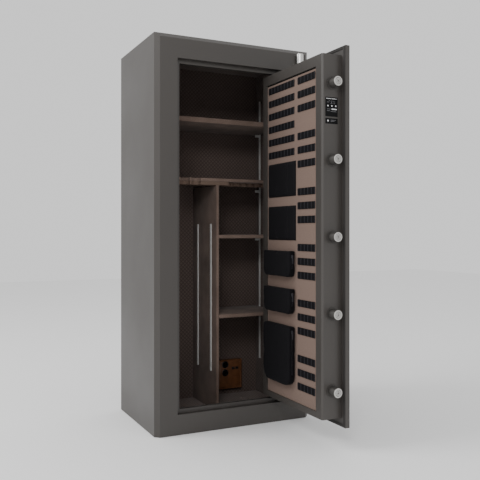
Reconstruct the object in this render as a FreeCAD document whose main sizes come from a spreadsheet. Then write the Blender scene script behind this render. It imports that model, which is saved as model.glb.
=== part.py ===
import FreeCAD, Part
import Sketcher
import math
import os
import re

# A fire-lined gun safe with its door standing open a quarter turn.
# Millimetres. The origin is the centre of the cabinet's footprint on the floor,
# +X to the right of someone who faces the safe, +Y to the rear, +Z up.
# Every door piece is drawn as the door lies shut, then turned about the hinge.

doc = FreeCAD.newDocument("gun_safe")
sheet = doc.addObject("Spreadsheet::Sheet", "Sizes")

SIZES = [
    # cabinet
    ("body_width", 661), ("body_depth", 454), ("body_height", 1500),
    ("front_bevel", 17), ("sheet_metal", 4), ("board_thick", 13), ("lining_thick", 3),
    ("jamb_width", 86.5), ("sill_height", 76), ("header_height", 90),
    ("recess_depth", 22), ("stop_depth", 18), ("stop_width", 15),
    ("anchor_radius", 7), ("anchor_span_x", 380), ("anchor_span_y", 220),
    # heights, as drawn for a body of the design height, which grow and shrink with it
    ("design_height", 1500), ("upper_shelf_height", 1206), ("rack_height_drawn", 952),
    ("middle_shelf_height", 732), ("lower_shelf_height", 401.5),
    ("standard_low_height", 177), ("divider_standard_height", 793),
    ("wall_standard_height", 1360),
    # heights on the door's panel above its lower edge, for a panel of the design height
    ("design_panel", 1206.5), ("webbing_pitch", 50.7), ("holster_upper", 761.5),
    ("holster_lower", 596.5), ("holster_tall", 129), ("pouch_a_low", 458.5),
    ("pouch_a_tall", 100), ("pouch_b_low", 321.5), ("pouch_b_tall", 97),
    ("pouch_c_low", 55.5), ("pouch_c_tall", 224),
    # shelves
    ("shelf_depth", 256), ("upper_shelf_thick", 21), ("rack_thick", 15),
    ("rack_board_thick", 13),
    ("barrel_radius", 19), ("barrel_pitch", 47), ("barrel_inset", 36),
    ("notch_radius", 12), ("notch_pitch", 32), ("notch_setback", 34),
    ("divider_thick", 12), ("shelf_thick", 15), ("shelf_play", 0.5), ("plain_front", 97),
    ("standard_width", 10), ("standard_thick", 4), ("standard_inset", 55),
    ("right_standard_inset", 34),
    ("standard_spacing", 141), ("slot_pitch", 25), ("slot_length", 12), ("slot_width", 4),
    ("clip_length", 20), ("clip_height", 12), ("clip_thick", 8),
    # outlet box
    ("outlet_width", 124), ("outlet_height", 130), ("outlet_depth", 24),
    ("outlet_offset", 93), ("outlet_level", 48), ("fitting_proud", 2), ("socket_radius", 12),
    ("socket_spacing", 37), ("port_width", 14), ("port_height", 11),
    # door
    ("door_gap", 3), ("hinge_gap", 10), ("plate_thick", 19.5), ("plate_skin", 6),
    ("plate_round", 4), ("lock_flange", 24), ("hinge_flange", 13.5), ("end_flange", 31),
    ("case_depth", 79.5), ("case_wall", 3), ("case_round", 8), ("face_frame", 5),
    ("lock_border", 41), ("hinge_border", 36), ("low_border", 21.5), ("high_border", 38),
    ("board_sheet", 3), ("fabric_thick", 2.5), ("fabric_play", 0.3),
    ("seal_width", 9), ("seal_thick", 2.2), ("seal_inset", 2),
    ("pivot_side", 35.2), ("pivot_back", 23.4), ("pin_radius", 6), ("pin_play", 0.05),
    ("knuckle_radius", 12), ("knuckle_relief", 13), ("pin_root", 26), ("pin_end", 1),
    ("arm_length", 45), ("arm_width", 15), ("washer_thick", 3),
    ("barrel_post_radius", 14.5), ("barrel_post_height", 100), ("barrel_post_out", 13),
    ("barrel_post_side", 52), ("low_post_inset", 96), ("top_post_inset", 23),
    # boltwork
    ("bolt_radius", 16.5), ("bolt_throw", 37.6), ("bolt_reach", 39), ("bolt_length", 90.5),
    ("bolt_depth", 58), ("low_bolt_margin", 98), ("top_bolt_margin", 100), ("bolt_play", 0.3),
    ("collar_radius", 23), ("collar_proud", 2),
    ("carriage_width", 40), ("carriage_thick", 10), ("carriage_end", 24),
    ("gear_module", 3), ("pinion_teeth", 16), ("gear_thick", 12), ("gear_play", 0.35),
    ("rack_height", 16), ("handle_side", 210), ("spindle_radius", 8), ("spindle_tail", 8),
    # lock, dial and handle
    ("dial_rise", 218), ("lock_width", 64), ("lock_height", 90), ("lock_depth", 32),
    ("lock_start", 25), ("lock_wall", 4), ("wheel_radius", 18), ("wheel_count", 3),
    ("wheel_thick", 4), ("wheel_pitch", 6),
    ("lock_bolt_width", 22), ("lock_bolt_thick", 10), ("lock_bolt_length", 34),
    ("lock_bolt_proud", 2), ("lock_bolt_play", 0.3),
    ("dial_radius", 38), ("dial_thick", 16), ("knob_radius", 19), ("knob_height", 18),
    ("ring_radius", 50), ("ring_thick", 8), ("dial_spindle_radius", 4),
    ("bushing_radius", 44), ("bushing_thick", 8), ("run_play", 0.3),
    ("hub_radius", 28), ("hub_height", 50), ("spoke_radius", 7), ("spoke_reach", 112),
    ("spoke_lift", 40), ("knob_ball", 12), ("spoke_count", 3),
    # door storage panel
    ("webbing_thick", 2.5), ("webbing_height", 26),
    ("left_column_width", 196), ("right_column_width", 118.5), ("column_inset", 14.5),
    ("top_row_drop", 40), ("left_rows", 6), ("right_rows", 3), ("right_groups", 6),
    ("holster_width", 207), ("holster_thick", 8), ("pouch_width", 205), ("pouch_thick", 30),
    ("label_width", 50), ("label_height", 67), ("small_label_height", 19),
    ("label_rise", 37.5), ("label_gap", 6), ("label_thick", 0.8), ("label_depth", 36),
]

for row, (alias, value) in enumerate(SIZES, start=1):
    sheet.set(f"A{row}", alias)
    sheet.set(f"B{row}", str(value))
    sheet.setAlias(f"B{row}", alias)
doc.recompute()

# Planes and lines that several pieces share, worked out from the sheet's cells.
SHARED = {
    "left_face": "-body_width / 2",
    "right_face": "body_width / 2",
    "front_face": "-body_depth / 2",
    "rear_face": "body_depth / 2",
    "open_left": "left_face + jamb_width",
    "open_right": "right_face - jamb_width",
    "open_top": "body_height - header_height",
    "recess_back": "front_face + recess_depth",
    "stop_back": "recess_back + stop_depth",
    "board_line": "sheet_metal + board_thick",
    "wall_build": "board_line + lining_thick",
    "room_left": "left_face + wall_build",
    "room_right": "right_face - wall_build",
    "room_rear": "rear_face - wall_build",
    "room_floor": "wall_build",
    "room_top": "body_height - wall_build",
    "shelf_front": "room_rear - shelf_depth",
    "level_scale": "body_height / design_height",
    "upper_shelf_level": "upper_shelf_height * level_scale",
    "rack_level": "rack_height_drawn * level_scale",
    "middle_shelf_level": "middle_shelf_height * level_scale",
    "lower_shelf_level": "lower_shelf_height * level_scale",
    "rack_top": "rack_level + rack_thick",
    "divider_left": "-divider_thick / 2",
    "divider_right": "divider_thick / 2",
    "rear_standard": "room_rear - standard_inset - standard_width",
    "front_standard": "rear_standard - standard_spacing",
    "right_rear_standard": "room_rear - right_standard_inset - standard_width",
    "right_front_standard": "right_rear_standard - standard_spacing",
    "plate_left": "open_left + door_gap",
    "plate_right": "open_right - hinge_gap",
    "plate_low": "sill_height + door_gap",
    "plate_high": "open_top - door_gap",
    "plate_back": "front_face + plate_thick",
    "case_left": "plate_left + lock_flange",
    "case_right": "plate_right - hinge_flange",
    "case_low": "plate_low + end_flange",
    "case_high": "plate_high - end_flange",
    "case_back": "plate_back + case_depth",
    "hinge_x": "open_right - pivot_side",
    "hinge_y": "front_face + pivot_back",
    "knuckle_height": "case_low - sill_height - stop_width - washer_thick - pin_play",
    "root_radius": "case_right - case_wall - hinge_x",
    "panel_left": "case_left + lock_border",
    "panel_right": "case_right - hinge_border",
    "panel_low": "case_low + low_border",
    "panel_high": "case_high - high_border",
    "panel_scale": "(panel_high - (panel_low)) / design_panel",
    "row_pitch": "webbing_pitch * panel_scale",
    "board_back": "case_back - face_frame",
    "fabric_back": "board_back + fabric_thick",
    "bolt_y": "front_face + bolt_depth",
    "bolt_pitch": "(case_high - (case_low) - low_bolt_margin - top_bolt_margin) / 4",
    "bolt_level": "case_low + low_bolt_margin + 2 * bolt_pitch",
    "label_level": "bolt_level + 1.5 * bolt_pitch + label_rise * level_scale"
                   " - (label_height - label_gap - small_label_height) / 2",
    "bolt_tip": "case_left - bolt_reach",
    "bolt_end": "bolt_tip + bolt_length",
    "spindle_x": "plate_left + handle_side",
    "pitch_radius": "gear_module * pinion_teeth / 2",
    "dial_z": "bolt_level + dial_rise",
    "lock_front": "front_face + lock_start",
    "column_right": "panel_right - column_inset",
    "column_left": "panel_left + column_inset / 2",
    "top_row": "panel_high - top_row_drop + webbing_height",
}
ALIASES = {alias for alias, _ in SIZES}
WORD = re.compile(r"[A-Za-z_][A-Za-z_0-9]*")
NO_TURN = FreeCAD.Rotation()
DOOR_TURN = FreeCAD.Rotation(FreeCAD.Vector(0, 0, 1), 90)
ALONG = {
    "x": FreeCAD.Rotation(FreeCAD.Vector(0, 1, 0), 90),
    "y": FreeCAD.Rotation(FreeCAD.Vector(1, 0, 0), -90),
    "z": NO_TURN,
}
subparts = {}


def formula(words):
    """Write shared names out until only the sheet's cells are left."""
    def swap(match):
        name = match.group(0)
        if name in SHARED:
            return f"({formula(SHARED[name])})"
        return f"Sizes.{name}" if name in ALIASES else name
    return WORD.sub(swap, str(words))


def size(words):
    """The present value of a formula, in millimetres."""
    def swap(match):
        name = match.group(0)
        return f"({SHARED[name]})" if name in SHARED else name
    text = str(words)
    while any(name in SHARED for name in WORD.findall(text)):
        text = WORD.sub(swap, text)
    for name in sorted(set(WORD.findall(text)), key=len, reverse=True):
        text = re.sub(rf"\b{name}\b", repr(float(sheet.get(name))), text)
    return float(FreeCAD.Units.Quantity(text).Value)


def place(thing, where, turn=NO_TURN, on_door=False):
    """Bind a thing's place; a door piece is carried round the hinge with the door."""
    across, deep, high = where
    if on_door:
        across, deep = (f"hinge_x + hinge_y - ({deep})", f"hinge_y - hinge_x + ({across})")
        turn = DOOR_TURN.multiply(turn)
    thing.Placement = FreeCAD.Placement(FreeCAD.Vector(), turn)
    for axis, words in zip("xyz", (across, deep, high)):
        thing.setExpression(f"Placement.Base.{axis}", formula(words))


def name_part(thing, label):
    if label:
        thing.Label = label
        subparts[label] = thing
    return thing


def block(label, across, deep, high, on_door=False):
    """A box between two planes each way."""
    box = doc.addObject("Part::Box", "Block")
    for prop, (low, top) in zip(("Length", "Width", "Height"), (across, deep, high)):
        box.setExpression(prop, formula(f"({top}) - ({low})"))
    place(box, (across[0], deep[0], high[0]), on_door=on_door)
    return name_part(box, label)


def rod(label, axis, start, length, radius, on_door=False):
    """A round bar that runs from start along an axis."""
    bar = doc.addObject("Part::Cylinder", "Rod")
    bar.setExpression("Radius", formula(radius))
    bar.setExpression("Height", formula(length))
    place(bar, start, ALONG[axis], on_door)
    return name_part(bar, label)


def gather(pieces):
    """Several solids as one tool or one group."""
    if len(pieces) == 1:
        return pieces[0]
    group = doc.addObject("Part::Compound", "Group")
    group.Links = pieces
    return group


def group(label, pieces, on_door=False):
    """Like pieces in one node, each its own solid."""
    bundle = gather(pieces)
    if on_door:
        place(bundle, ("0", "0", "0"), on_door=True)
    return name_part(bundle, label)


def cut(label, base, tools, on_door=False):
    result = doc.addObject("Part::Cut", "Cut")
    result.Base = base
    if len(tools) == 1:
        result.Tool = tools[0]
    else:
        fused = doc.addObject("Part::MultiFuse", "Tools")
        fused.Shapes = tools
        result.Tool = fused
    place(result, ("0", "0", "0"), on_door=on_door)
    return name_part(result, label)


def fuse(label, pieces, on_door=False):
    result = doc.addObject("Part::MultiFuse", "Fuse")
    result.Shapes = pieces
    place(result, ("0", "0", "0"), on_door=on_door)
    return name_part(result, label)


def start_body(plane_role, offset, body=None):
    """A sketch on one of a body's own planes, at an offset along its normal."""
    if body is None:
        body = doc.addObject("PartDesign::Body", "Body")
    sketch = body.newObject("Sketcher::SketchObject", "Outline")
    plane = next(p for p in body.Origin.OriginFeatures if p.Role == plane_role)
    sketch.AttachmentSupport = [(plane, "")]
    sketch.MapMode = "FlatFace"
    sketch.setExpression("AttachmentOffset.Base.z", formula(offset))
    return body, sketch


def outline(sketch, points):
    """A closed outline whose every corner is bound to the sheet."""
    corners = [FreeCAD.Vector(size(u), size(v), 0) for u, v in points]
    count = len(corners)
    for index in range(count):
        sketch.addGeometry(Part.LineSegment(corners[index], corners[(index + 1) % count]))
    for index in range(count):
        sketch.addConstraint(Sketcher.Constraint("Coincident", index, 2, (index + 1) % count, 1))
    for index, pair in enumerate(points):
        for kind, words, value in zip(("DistanceX", "DistanceY"), pair, corners[index]):
            number = sketch.addConstraint(Sketcher.Constraint(kind, -1, 1, index, 1, value))
            sketch.setExpression(f"Constraints[{number}]", formula(words))


def rectangle(sketch, across, high):
    outline(sketch, [(across[0], high[0]), (across[1], high[0]),
                     (across[1], high[1]), (across[0], high[1])])


def pad(body, sketch, length, reverse=False):
    feature = body.newObject("PartDesign::Pad", "Pad")
    feature.Profile = sketch
    feature.Reversed = reverse
    feature.setExpression("Length", formula(length))
    doc.recompute()
    return feature


def pocket(body, sketch, depth, reverse=False, both_ways=False):
    before = body.Shape.Volume
    feature = body.newObject("PartDesign::Pocket", "Pocket")
    feature.Profile = sketch
    feature.Reversed = reverse
    if both_ways:
        feature.SideType = "Symmetric"
    feature.setExpression("Length", formula(depth))
    doc.recompute()
    if body.Shape.Volume >= before - 1:
        raise RuntimeError(f"a pocket in {body.Name} cuts nothing")
    return feature


def round_edges(body, radius, test):
    """Round the edges of a body's last feature that pass a test."""
    base = body.Tip
    chosen = [f"Edge{n}" for n, edge in enumerate(base.Shape.Edges, start=1) if test(edge)]
    feature = body.newObject("PartDesign::Fillet", "Rounding")
    feature.Base = (base, chosen)
    feature.setExpression("Radius", formula(radius))
    doc.recompute()


def upright(edge):
    low, high = (vertex.Point for vertex in (edge.Vertexes[0], edge.Vertexes[-1]))
    return abs(low.x - high.x) < 0.01 and abs(low.y - high.y) < 0.01 and abs(low.z - high.z) > 1


def near(value, words):
    return abs(value - size(words)) < 0.01


# ---------------------------------------------------------------- cabinet shell
inner_wide = ("left_face + sheet_metal", "right_face - sheet_metal")
shell_deep = ("recess_back", "rear_face - sheet_metal")
block("side_panel_left", ("left_face", "left_face + sheet_metal"), shell_deep,
      ("0", "body_height"))
block("side_panel_right", ("right_face - sheet_metal", "right_face"), shell_deep,
      ("0", "body_height"))
block("rear_panel", ("left_face", "right_face"), ("rear_face - sheet_metal", "rear_face"),
      ("0", "body_height"))
block("top_panel", inner_wide, shell_deep, ("body_height - sheet_metal", "body_height"))


def anchor_holes(low, high):
    """The four floor anchor holes, as tools through one layer."""
    return [rod(None, "z", (f"{side} * anchor_span_x / 2", f"{end} * anchor_span_y / 2",
                            f"({low}) - 1"), f"({high}) - ({low}) + 2", "anchor_radius")
            for side in (-1, 1) for end in (-1, 1)]


cut("bottom_panel", block(None, inner_wide, shell_deep, ("0", "sheet_metal")),
    anchor_holes("0", "sheet_metal"))

# The front frame is folded sheet: each member is a pan, open to the rear, with a bevel.
bevel_clear = "front_bevel + sheet_metal * 0.75"


def jamb(label, side):
    """A full-height front jamb with a bevelled outer edge and a bevelled top."""
    outer = "left_face" if side < 0 else "right_face"
    inner = "open_left" if side < 0 else "open_right"
    inward = "+" if side < 0 else "-"
    outward = "-" if side < 0 else "+"
    body, sketch = start_body("XY_Plane", "0")
    outline(sketch, [(outer, "recess_back"), (outer, "front_face + front_bevel"),
                     (f"{outer} {inward} front_bevel", "front_face"), (inner, "front_face"),
                     (inner, "recess_back")])
    pad(body, sketch, "body_height")
    body, sketch = start_body("YZ_Plane", "0", body)
    outline(sketch, [("front_face - 1", "body_height - front_bevel - 1"),
                     ("front_face + front_bevel + 1", "body_height + 1"),
                     ("front_face - 1", "body_height + 1")])
    pocket(body, sketch, "2 * body_width", both_ways=True)
    across = [f"{outer} {inward} ({bevel_clear})", f"{inner} {outward} sheet_metal"]
    if side > 0:
        across.reverse()
    hollow = block(None, across, ("front_face + sheet_metal", "recess_back + 1"),
                   ("sheet_metal", f"body_height - ({bevel_clear})"))
    cut(label, body, [hollow])


jamb("front_jamb_left", -1)
jamb("front_jamb_right", 1)

header, header_sketch = start_body("YZ_Plane", "open_left")
outline(header_sketch, [("front_face", "open_top"), ("recess_back", "open_top"),
                        ("recess_back", "body_height"),
                        ("front_face + front_bevel", "body_height"),
                        ("front_face", "body_height - front_bevel")])
pad(header, header_sketch, "open_right - (open_left)")
header_hollow = ("open_top + sheet_metal", f"body_height - ({bevel_clear})")
doorway = ("open_left", "open_right")
open_pan = ("front_face + sheet_metal", "recess_back + 1")
cut("front_header", header, [block(None, doorway, open_pan, header_hollow)])
sill = block(None, doorway, ("front_face", "recess_back"), ("0", "sill_height"))
cut("front_sill", sill, [block(None, doorway, open_pan,
                               ("sheet_metal", "sill_height - sheet_metal"))])

# The stops are flat bars that stand proud of the opening behind the door plate;
# the locking bolts lie behind the left one. They end short of the turning door.
stop_deep = ("recess_back", "stop_back")
stop_end = "hinge_x - knuckle_radius / 1.5"
group("frame_stops", [
    block(None, ("open_left - sheet_metal", "open_left + stop_width"), stop_deep,
          ("sill_height - sheet_metal", "open_top + sheet_metal")),
    block(None, ("open_left + stop_width", stop_end), stop_deep,
          ("open_top - stop_width", "open_top + sheet_metal")),
    block(None, ("open_left + stop_width", stop_end), stop_deep,
          ("sill_height - sheet_metal", "sill_height + stop_width"))])

# Fireboard fills the walls and the front frame.
board_wide = ("left_face + sheet_metal", "left_face + board_line")
board_deep = ("recess_back", "rear_face - board_line")
board_high = ("sheet_metal", "body_height - sheet_metal")
cover_wide = ("left_face + board_line", "right_face - board_line")
pan_deep = ("front_face + sheet_metal", "recess_back")
pan_high = ("sheet_metal", f"body_height - ({bevel_clear})")
group("fireboard", [
    block(None, inner_wide, ("rear_face - board_line", "rear_face - sheet_metal"), board_high),
    block(None, board_wide, board_deep, board_high),
    block(None, ("right_face - board_line", "right_face - sheet_metal"), board_deep, board_high),
    block(None, cover_wide, board_deep, ("body_height - board_line", board_high[1])),
    cut(None, block(None, cover_wide, board_deep, ("sheet_metal", "board_line")),
        anchor_holes("sheet_metal", "board_line")),
    block(None, (f"left_face + {bevel_clear}", "open_left - sheet_metal"), pan_deep, pan_high),
    block(None, ("open_right + sheet_metal", f"right_face - ({bevel_clear})"), pan_deep,
          pan_high),
    block(None, doorway, pan_deep, header_hollow),
    block(None, doorway, pan_deep, ("sheet_metal", "sill_height - sheet_metal"))])

lining_deep = ("recess_back", "room_rear")
lining_high = ("board_line", "body_height - board_line")
block("lining_left", ("left_face + board_line", "room_left"), lining_deep, lining_high)
block("lining_right", ("room_right", "right_face - board_line"), lining_deep, lining_high)
block("lining_rear", cover_wide, ("room_rear", "rear_face - board_line"), lining_high)
room_wide = ("room_left", "room_right")
block("lining_ceiling", room_wide, lining_deep, ("room_top", lining_high[1]))
cut("lining_floor", block(None, room_wide, lining_deep, ("board_line", "room_floor")),
    anchor_holes("board_line", "room_floor"))

# ---------------------------------------------------------------- shelves
shelf_deep = ("shelf_front", "room_rear")
shelf_left = "room_left + standard_thick + shelf_play"
full_shelf = (shelf_left, "room_right - standard_thick - shelf_play")
right_bay = ("divider_right", "room_right - standard_thick - shelf_play")
block("upper_shelf", full_shelf, shelf_deep,
      ("upper_shelf_level", "upper_shelf_level + upper_shelf_thick"))
block("divider", ("divider_left", "divider_right"), shelf_deep, ("room_floor", "rack_level"))
for shelf in ("middle_shelf", "lower_shelf"):
    block(shelf, right_bay, shelf_deep, (f"{shelf}_level", f"{shelf}_level + shelf_thick"))


def scallops(count, first, pitch, radius, front):
    """Round cut-outs in a rack's front edge, one for each long gun's barrel."""
    return [rod(None, "z", (f"{first} + {index} * {pitch}", front, "rack_level - 1"),
                "rack_thick + rack_board_thick + 2", radius) for index in range(count)]


left_room = size("plain_front / -2 - (room_left)")
barrel_count = int(left_room // size("barrel_pitch"))
first_barrel = "room_left + barrel_inset - barrel_radius / 2"
rack_board = block(None, full_shelf, shelf_deep, ("rack_top", "rack_top + rack_board_thick"))
cut("rack_board", rack_board,
    scallops(barrel_count, first_barrel, "barrel_pitch", "barrel_radius", "shelf_front"))
left_rack = block(None, (shelf_left, "plain_front / 2"),
                  ("shelf_front", "shelf_front + 3 * barrel_radius"), ("rack_level", "rack_top"))
left_rack = cut(None, left_rack,
                scallops(barrel_count, first_barrel, "barrel_pitch", "barrel_radius",
                         "shelf_front"))
notch_start = "plain_front / 2 + notch_pitch / 2"
notch_count = int(size("right_face - wall_build - plain_front / 2") // size("notch_pitch"))
right_rack = block(None, ("plain_front / 2", "room_right - standard_thick - shelf_play"),
                   ("shelf_front + notch_setback", "shelf_front + notch_setback + 3 * notch_radius"),
                   ("rack_level", "rack_top"))
right_rack = cut(None, right_rack,
                 scallops(notch_count - 1, notch_start, "notch_pitch", "notch_radius",
                          "shelf_front + notch_setback"))
group("rack_strips", [left_rack, right_rack])


def standard(across, front, low, high):
    """A slotted steel upright that shelf clips hook into."""
    strip = block(None, across, (front, f"{front} + standard_width"), (low, high))
    count = int((size(high) - size(low)) // size("slot_pitch"))
    slots = [block(None, (f"({across[0]}) - 1", f"({across[1]}) + 1"),
                   (f"{front} + (standard_width - slot_width) / 2",
                    f"{front} + (standard_width + slot_width) / 2"),
                   (f"{low} + slot_pitch * {step + 0.5} - slot_length / 2",
                    f"{low} + slot_pitch * {step + 0.5} + slot_length / 2"))
             for step in range(count)]
    return cut(None, strip, slots)


on_divider = ("divider_left - standard_thick", "divider_left")
on_left = ("room_left", "room_left + standard_thick")
on_right = ("room_right - standard_thick", "room_right")
left_fronts = ("front_standard", "rear_standard")
right_fronts = ("right_front_standard", "right_rear_standard")
group("shelf_standards", [
    standard(across, front, "standard_low_height * level_scale", f"{top} * level_scale")
    for across, fronts, top in ((on_divider, left_fronts, "divider_standard_height"),
                                (on_left, left_fronts, "wall_standard_height"),
                                (on_right, right_fronts, "wall_standard_height"))
    for front in fronts])

left_clip = (on_left[1], f"{on_left[1]} + clip_length")
right_clip = (f"{on_right[0]} - clip_length", on_right[0])
clip_places = [(right_clip, right_fronts, level) for level in (
    "upper_shelf_level", "middle_shelf_level", "lower_shelf_level", "rack_level")] + [
    (left_clip, left_fronts, level) for level in ("upper_shelf_level", "rack_level")]
group("shelf_clips", [
    block(None, across,
          (f"{front} + (standard_width - clip_thick) / 2",
           f"{front} + (standard_width + clip_thick) / 2"),
          (f"{level} - clip_height", level))
    for across, fronts, level in clip_places for front in fronts])

# ---------------------------------------------------------------- outlet box
outlet_left = "outlet_offset + divider_right"
outlet_deep = ("room_rear - outlet_depth", "room_rear")
socket_x = f"{outlet_left} + outlet_width / 3"
socket_z = "outlet_level + outlet_height * 0.7"
port_x = f"{outlet_left} + outlet_width * 0.6"
fitting_deep = ("room_rear - outlet_depth - fitting_proud", "room_rear - outlet_depth")
block("outlet_box", (outlet_left, f"{outlet_left} + outlet_width"), outlet_deep,
      ("outlet_level", "outlet_level + outlet_height"))
group("outlet_sockets", [
    rod(None, "y", (socket_x, fitting_deep[0], f"{socket_z} + {row} * socket_spacing / 2"),
        "fitting_proud", "socket_radius") for row in (-1, 1)] + [
    block(None, (f"{port_x} + {column} * port_width * 1.3",
                 f"{port_x} + {column} * port_width * 1.3 + port_width"), fitting_deep,
          (f"{socket_z} - port_height / 2", f"{socket_z} + port_height / 2"))
    for column in (0, 1)])

# ---------------------------------------------------------------- hinges
top_bracket = ("open_top - stop_width - knuckle_height", "open_top - stop_width")
low_bracket = ("sill_height + stop_width", "sill_height + stop_width + knuckle_height")


def bracket(levels):
    """An arm under the frame stop with a bored, round-nosed knuckle."""
    low, high = levels
    arm = block(None, ("hinge_x - arm_length", "hinge_x"),
                ("hinge_y + knuckle_radius - arm_width", "hinge_y + knuckle_radius"), levels)
    nose = rod(None, "z", ("hinge_x", "hinge_y", low), f"({high}) - ({low})", "knuckle_radius")
    bore = rod(None, "z", ("hinge_x", "hinge_y", f"({low}) - 1"), f"({high}) - ({low}) + 2",
               "pin_radius + pin_play")
    return cut(None, fuse(None, [arm, nose]), [bore])


group("hinge_brackets", [bracket(top_bracket), bracket(low_bracket)])


def hinge_barrel(low):
    """A round post on the front face, with a flat where it is welded on."""
    post = rod(None, "z", ("right_face - barrel_post_side", "front_face - barrel_post_out", low),
               "barrel_post_height", "barrel_post_radius")
    behind = block(None, ("open_right", "right_face"), ("front_face", "front_face + body_depth"),
                   ("0", "body_height"))
    return cut(None, post, [behind])


group("hinge_barrels", [hinge_barrel(low) for low in (
    "low_post_inset", "body_height - top_post_inset - barrel_post_height")])

# ---------------------------------------------------------------- door casing
plate, plate_sketch = start_body("XZ_Plane", "-(front_face)")
rectangle(plate_sketch, ("plate_left", "plate_right"), ("plate_low", "plate_high"))
pad(plate, plate_sketch, "plate_thick", reverse=True)
round_edges(plate, "plate_round",
            lambda edge: all(near(v.Point.y, "front_face") for v in edge.Vertexes))
case_inside = ("case_left + case_wall", "case_right - case_wall")
case_inside_high = ("case_low + case_wall", "case_high - case_wall")
plate, plate_sketch = start_body("XZ_Plane", "-(plate_back)", plate)
rectangle(plate_sketch, case_inside, case_inside_high)
pocket(plate, plate_sketch, "plate_thick - plate_skin", reverse=True)


def hinge_column(radius, low, high):
    return rod(None, "z", ("hinge_x", "hinge_y", low), f"({high}) - ({low})", radius)


low_root = ("case_low", "case_low + pin_root")
top_root = ("case_high - pin_root", "case_high")
relief_low = hinge_column("knuckle_relief", "sill_height + stop_width - 0.5", low_root[1])
relief_top = hinge_column("knuckle_relief", top_root[0], "open_top - stop_width + 0.5")
spindle_hole = rod(None, "y", ("spindle_x", "front_face - 1", "bolt_level"),
                   "plate_thick + 2", "spindle_radius + run_play")
dial_hole = rod(None, "y", ("spindle_x", "front_face - 1", "dial_z"),
                "plate_thick + 2", "dial_spindle_radius + run_play")
cut("door_plate", plate, [relief_low, relief_top, spindle_hole, dial_hole], on_door=True)

door_board = block(None, case_inside, ("front_face + plate_skin", "plate_back"),
                   case_inside_high)
cut("door_fireboard", door_board, [
    hinge_column("knuckle_relief", *low_root), hinge_column("knuckle_relief", *top_root),
    rod(None, "y", ("spindle_x", "front_face", "bolt_level"), "plate_thick + 1",
        "spindle_radius + run_play"),
    rod(None, "y", ("spindle_x", "front_face", "dial_z"), "plate_thick + 1",
        "dial_spindle_radius + run_play")], on_door=True)

seal_deep = ("plate_back", "plate_back + seal_thick")
seal_outer = [("plate_left + seal_inset", "plate_right - seal_inset"),
              ("plate_low + seal_inset", "plate_high - seal_inset")]
seal_inner = [("plate_left + seal_inset + seal_width", "plate_right - seal_inset - seal_width"),
              ("plate_low + seal_inset + seal_width", "plate_high - seal_inset - seal_width")]
cut("door_seal", block(None, seal_outer[0], seal_deep, seal_outer[1]),
    [block(None, seal_inner[0], ("plate_back - 1", "plate_back + seal_thick + 1"),
           seal_inner[1])], on_door=True)

case, case_sketch = start_body("XZ_Plane", "-(plate_back)")
rectangle(case_sketch, ("case_left", "case_right"), ("case_low", "case_high"))
pad(case, case_sketch, "case_depth", reverse=True)
round_edges(case, "case_round",
            lambda edge: upright(edge) and near(edge.Vertexes[0].Point.y, "case_back"))
case, case_sketch = start_body("XZ_Plane", "-(plate_back)", case)
rectangle(case_sketch, case_inside, case_inside_high)
pocket(case, case_sketch, "case_depth - face_frame")
case, case_sketch = start_body("XZ_Plane", "1 - (board_back)", case)
rectangle(case_sketch, ("panel_left", "panel_right"), ("panel_low", "panel_high"))
pocket(case, case_sketch, "face_frame + 2")
bolt_levels = [f"bolt_level + {step} * bolt_pitch" for step in (-2, -1, 0, 1, 2)]
collar_holes = [rod(None, "x", ("case_left - 1", "bolt_y", level), "case_wall + 2",
                    "bolt_radius + bolt_play") for level in bolt_levels]
cut("door_case", case, collar_holes + [
    hinge_column("pin_radius", "case_low - 1", "case_low + case_wall"),
    hinge_column("pin_radius", "case_high - case_wall", "case_high + 1")], on_door=True)

block("inner_board", case_inside, ("board_back - board_sheet", "board_back"),
      case_inside_high, on_door=True)
block("fabric_panel", ("panel_left + fabric_play", "panel_right - fabric_play"),
      ("board_back", "fabric_back"), ("panel_low + fabric_play", "panel_high - fabric_play"),
      on_door=True)

# ---------------------------------------------------------------- hinge pins
pin_top = "open_top - stop_width - pin_end"
pin_bottom = "sill_height + stop_width + pin_end"
group("hinge_pins", [
    fuse(None, [hinge_column("root_radius", top_root[0], "case_high - case_wall"),
                hinge_column("pin_radius", "case_high - case_wall", pin_top)]),
    fuse(None, [hinge_column("root_radius", "case_low + case_wall", low_root[1]),
                hinge_column("pin_radius", pin_bottom, "case_low + case_wall")])], on_door=True)
washer_low = "sill_height + stop_width + knuckle_height + pin_play"
cut("thrust_washer", hinge_column("knuckle_radius - 1", washer_low, "case_low"),
    [hinge_column("pin_radius", f"({washer_low}) - 1", "case_low + 1")], on_door=True)

# ---------------------------------------------------------------- boltwork
group("bolt_collars", [
    cut(None, rod(None, "x", ("case_left - collar_proud", "bolt_y", level), "collar_proud",
                  "collar_radius"),
        [rod(None, "x", ("case_left - collar_proud - 1", "bolt_y", level),
             "collar_proud + 2", "bolt_radius + bolt_play")])
    for level in bolt_levels], on_door=True)
group("locking_bolts", [
    rod(None, "x", ("bolt_tip", "bolt_y", level), "bolt_length", "bolt_radius")
    for level in bolt_levels], on_door=True)
carriage_deep = ("bolt_y - carriage_thick / 2", "bolt_y + carriage_thick / 2")
block("bolt_carriage", ("bolt_end", "bolt_end + carriage_width"), carriage_deep,
      (f"{bolt_levels[0]} - carriage_end", f"{bolt_levels[-1]} + carriage_end"), on_door=True)


def involute_tooth(base_radius, root_radius, tip_radius, half_angle):
    """One side's flank of a gear tooth as (radius, angle from the tooth's middle) pairs."""
    flank = [(root_radius, half_angle)]
    start = max(base_radius, root_radius)
    steps = 6
    for step in range(steps + 1):
        radius = start + (tip_radius - start) * step / steps
        roll = math.acos(min(1.0, base_radius / radius))
        flank.append((radius, half_angle - (math.tan(roll) - roll)))
    return flank


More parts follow.
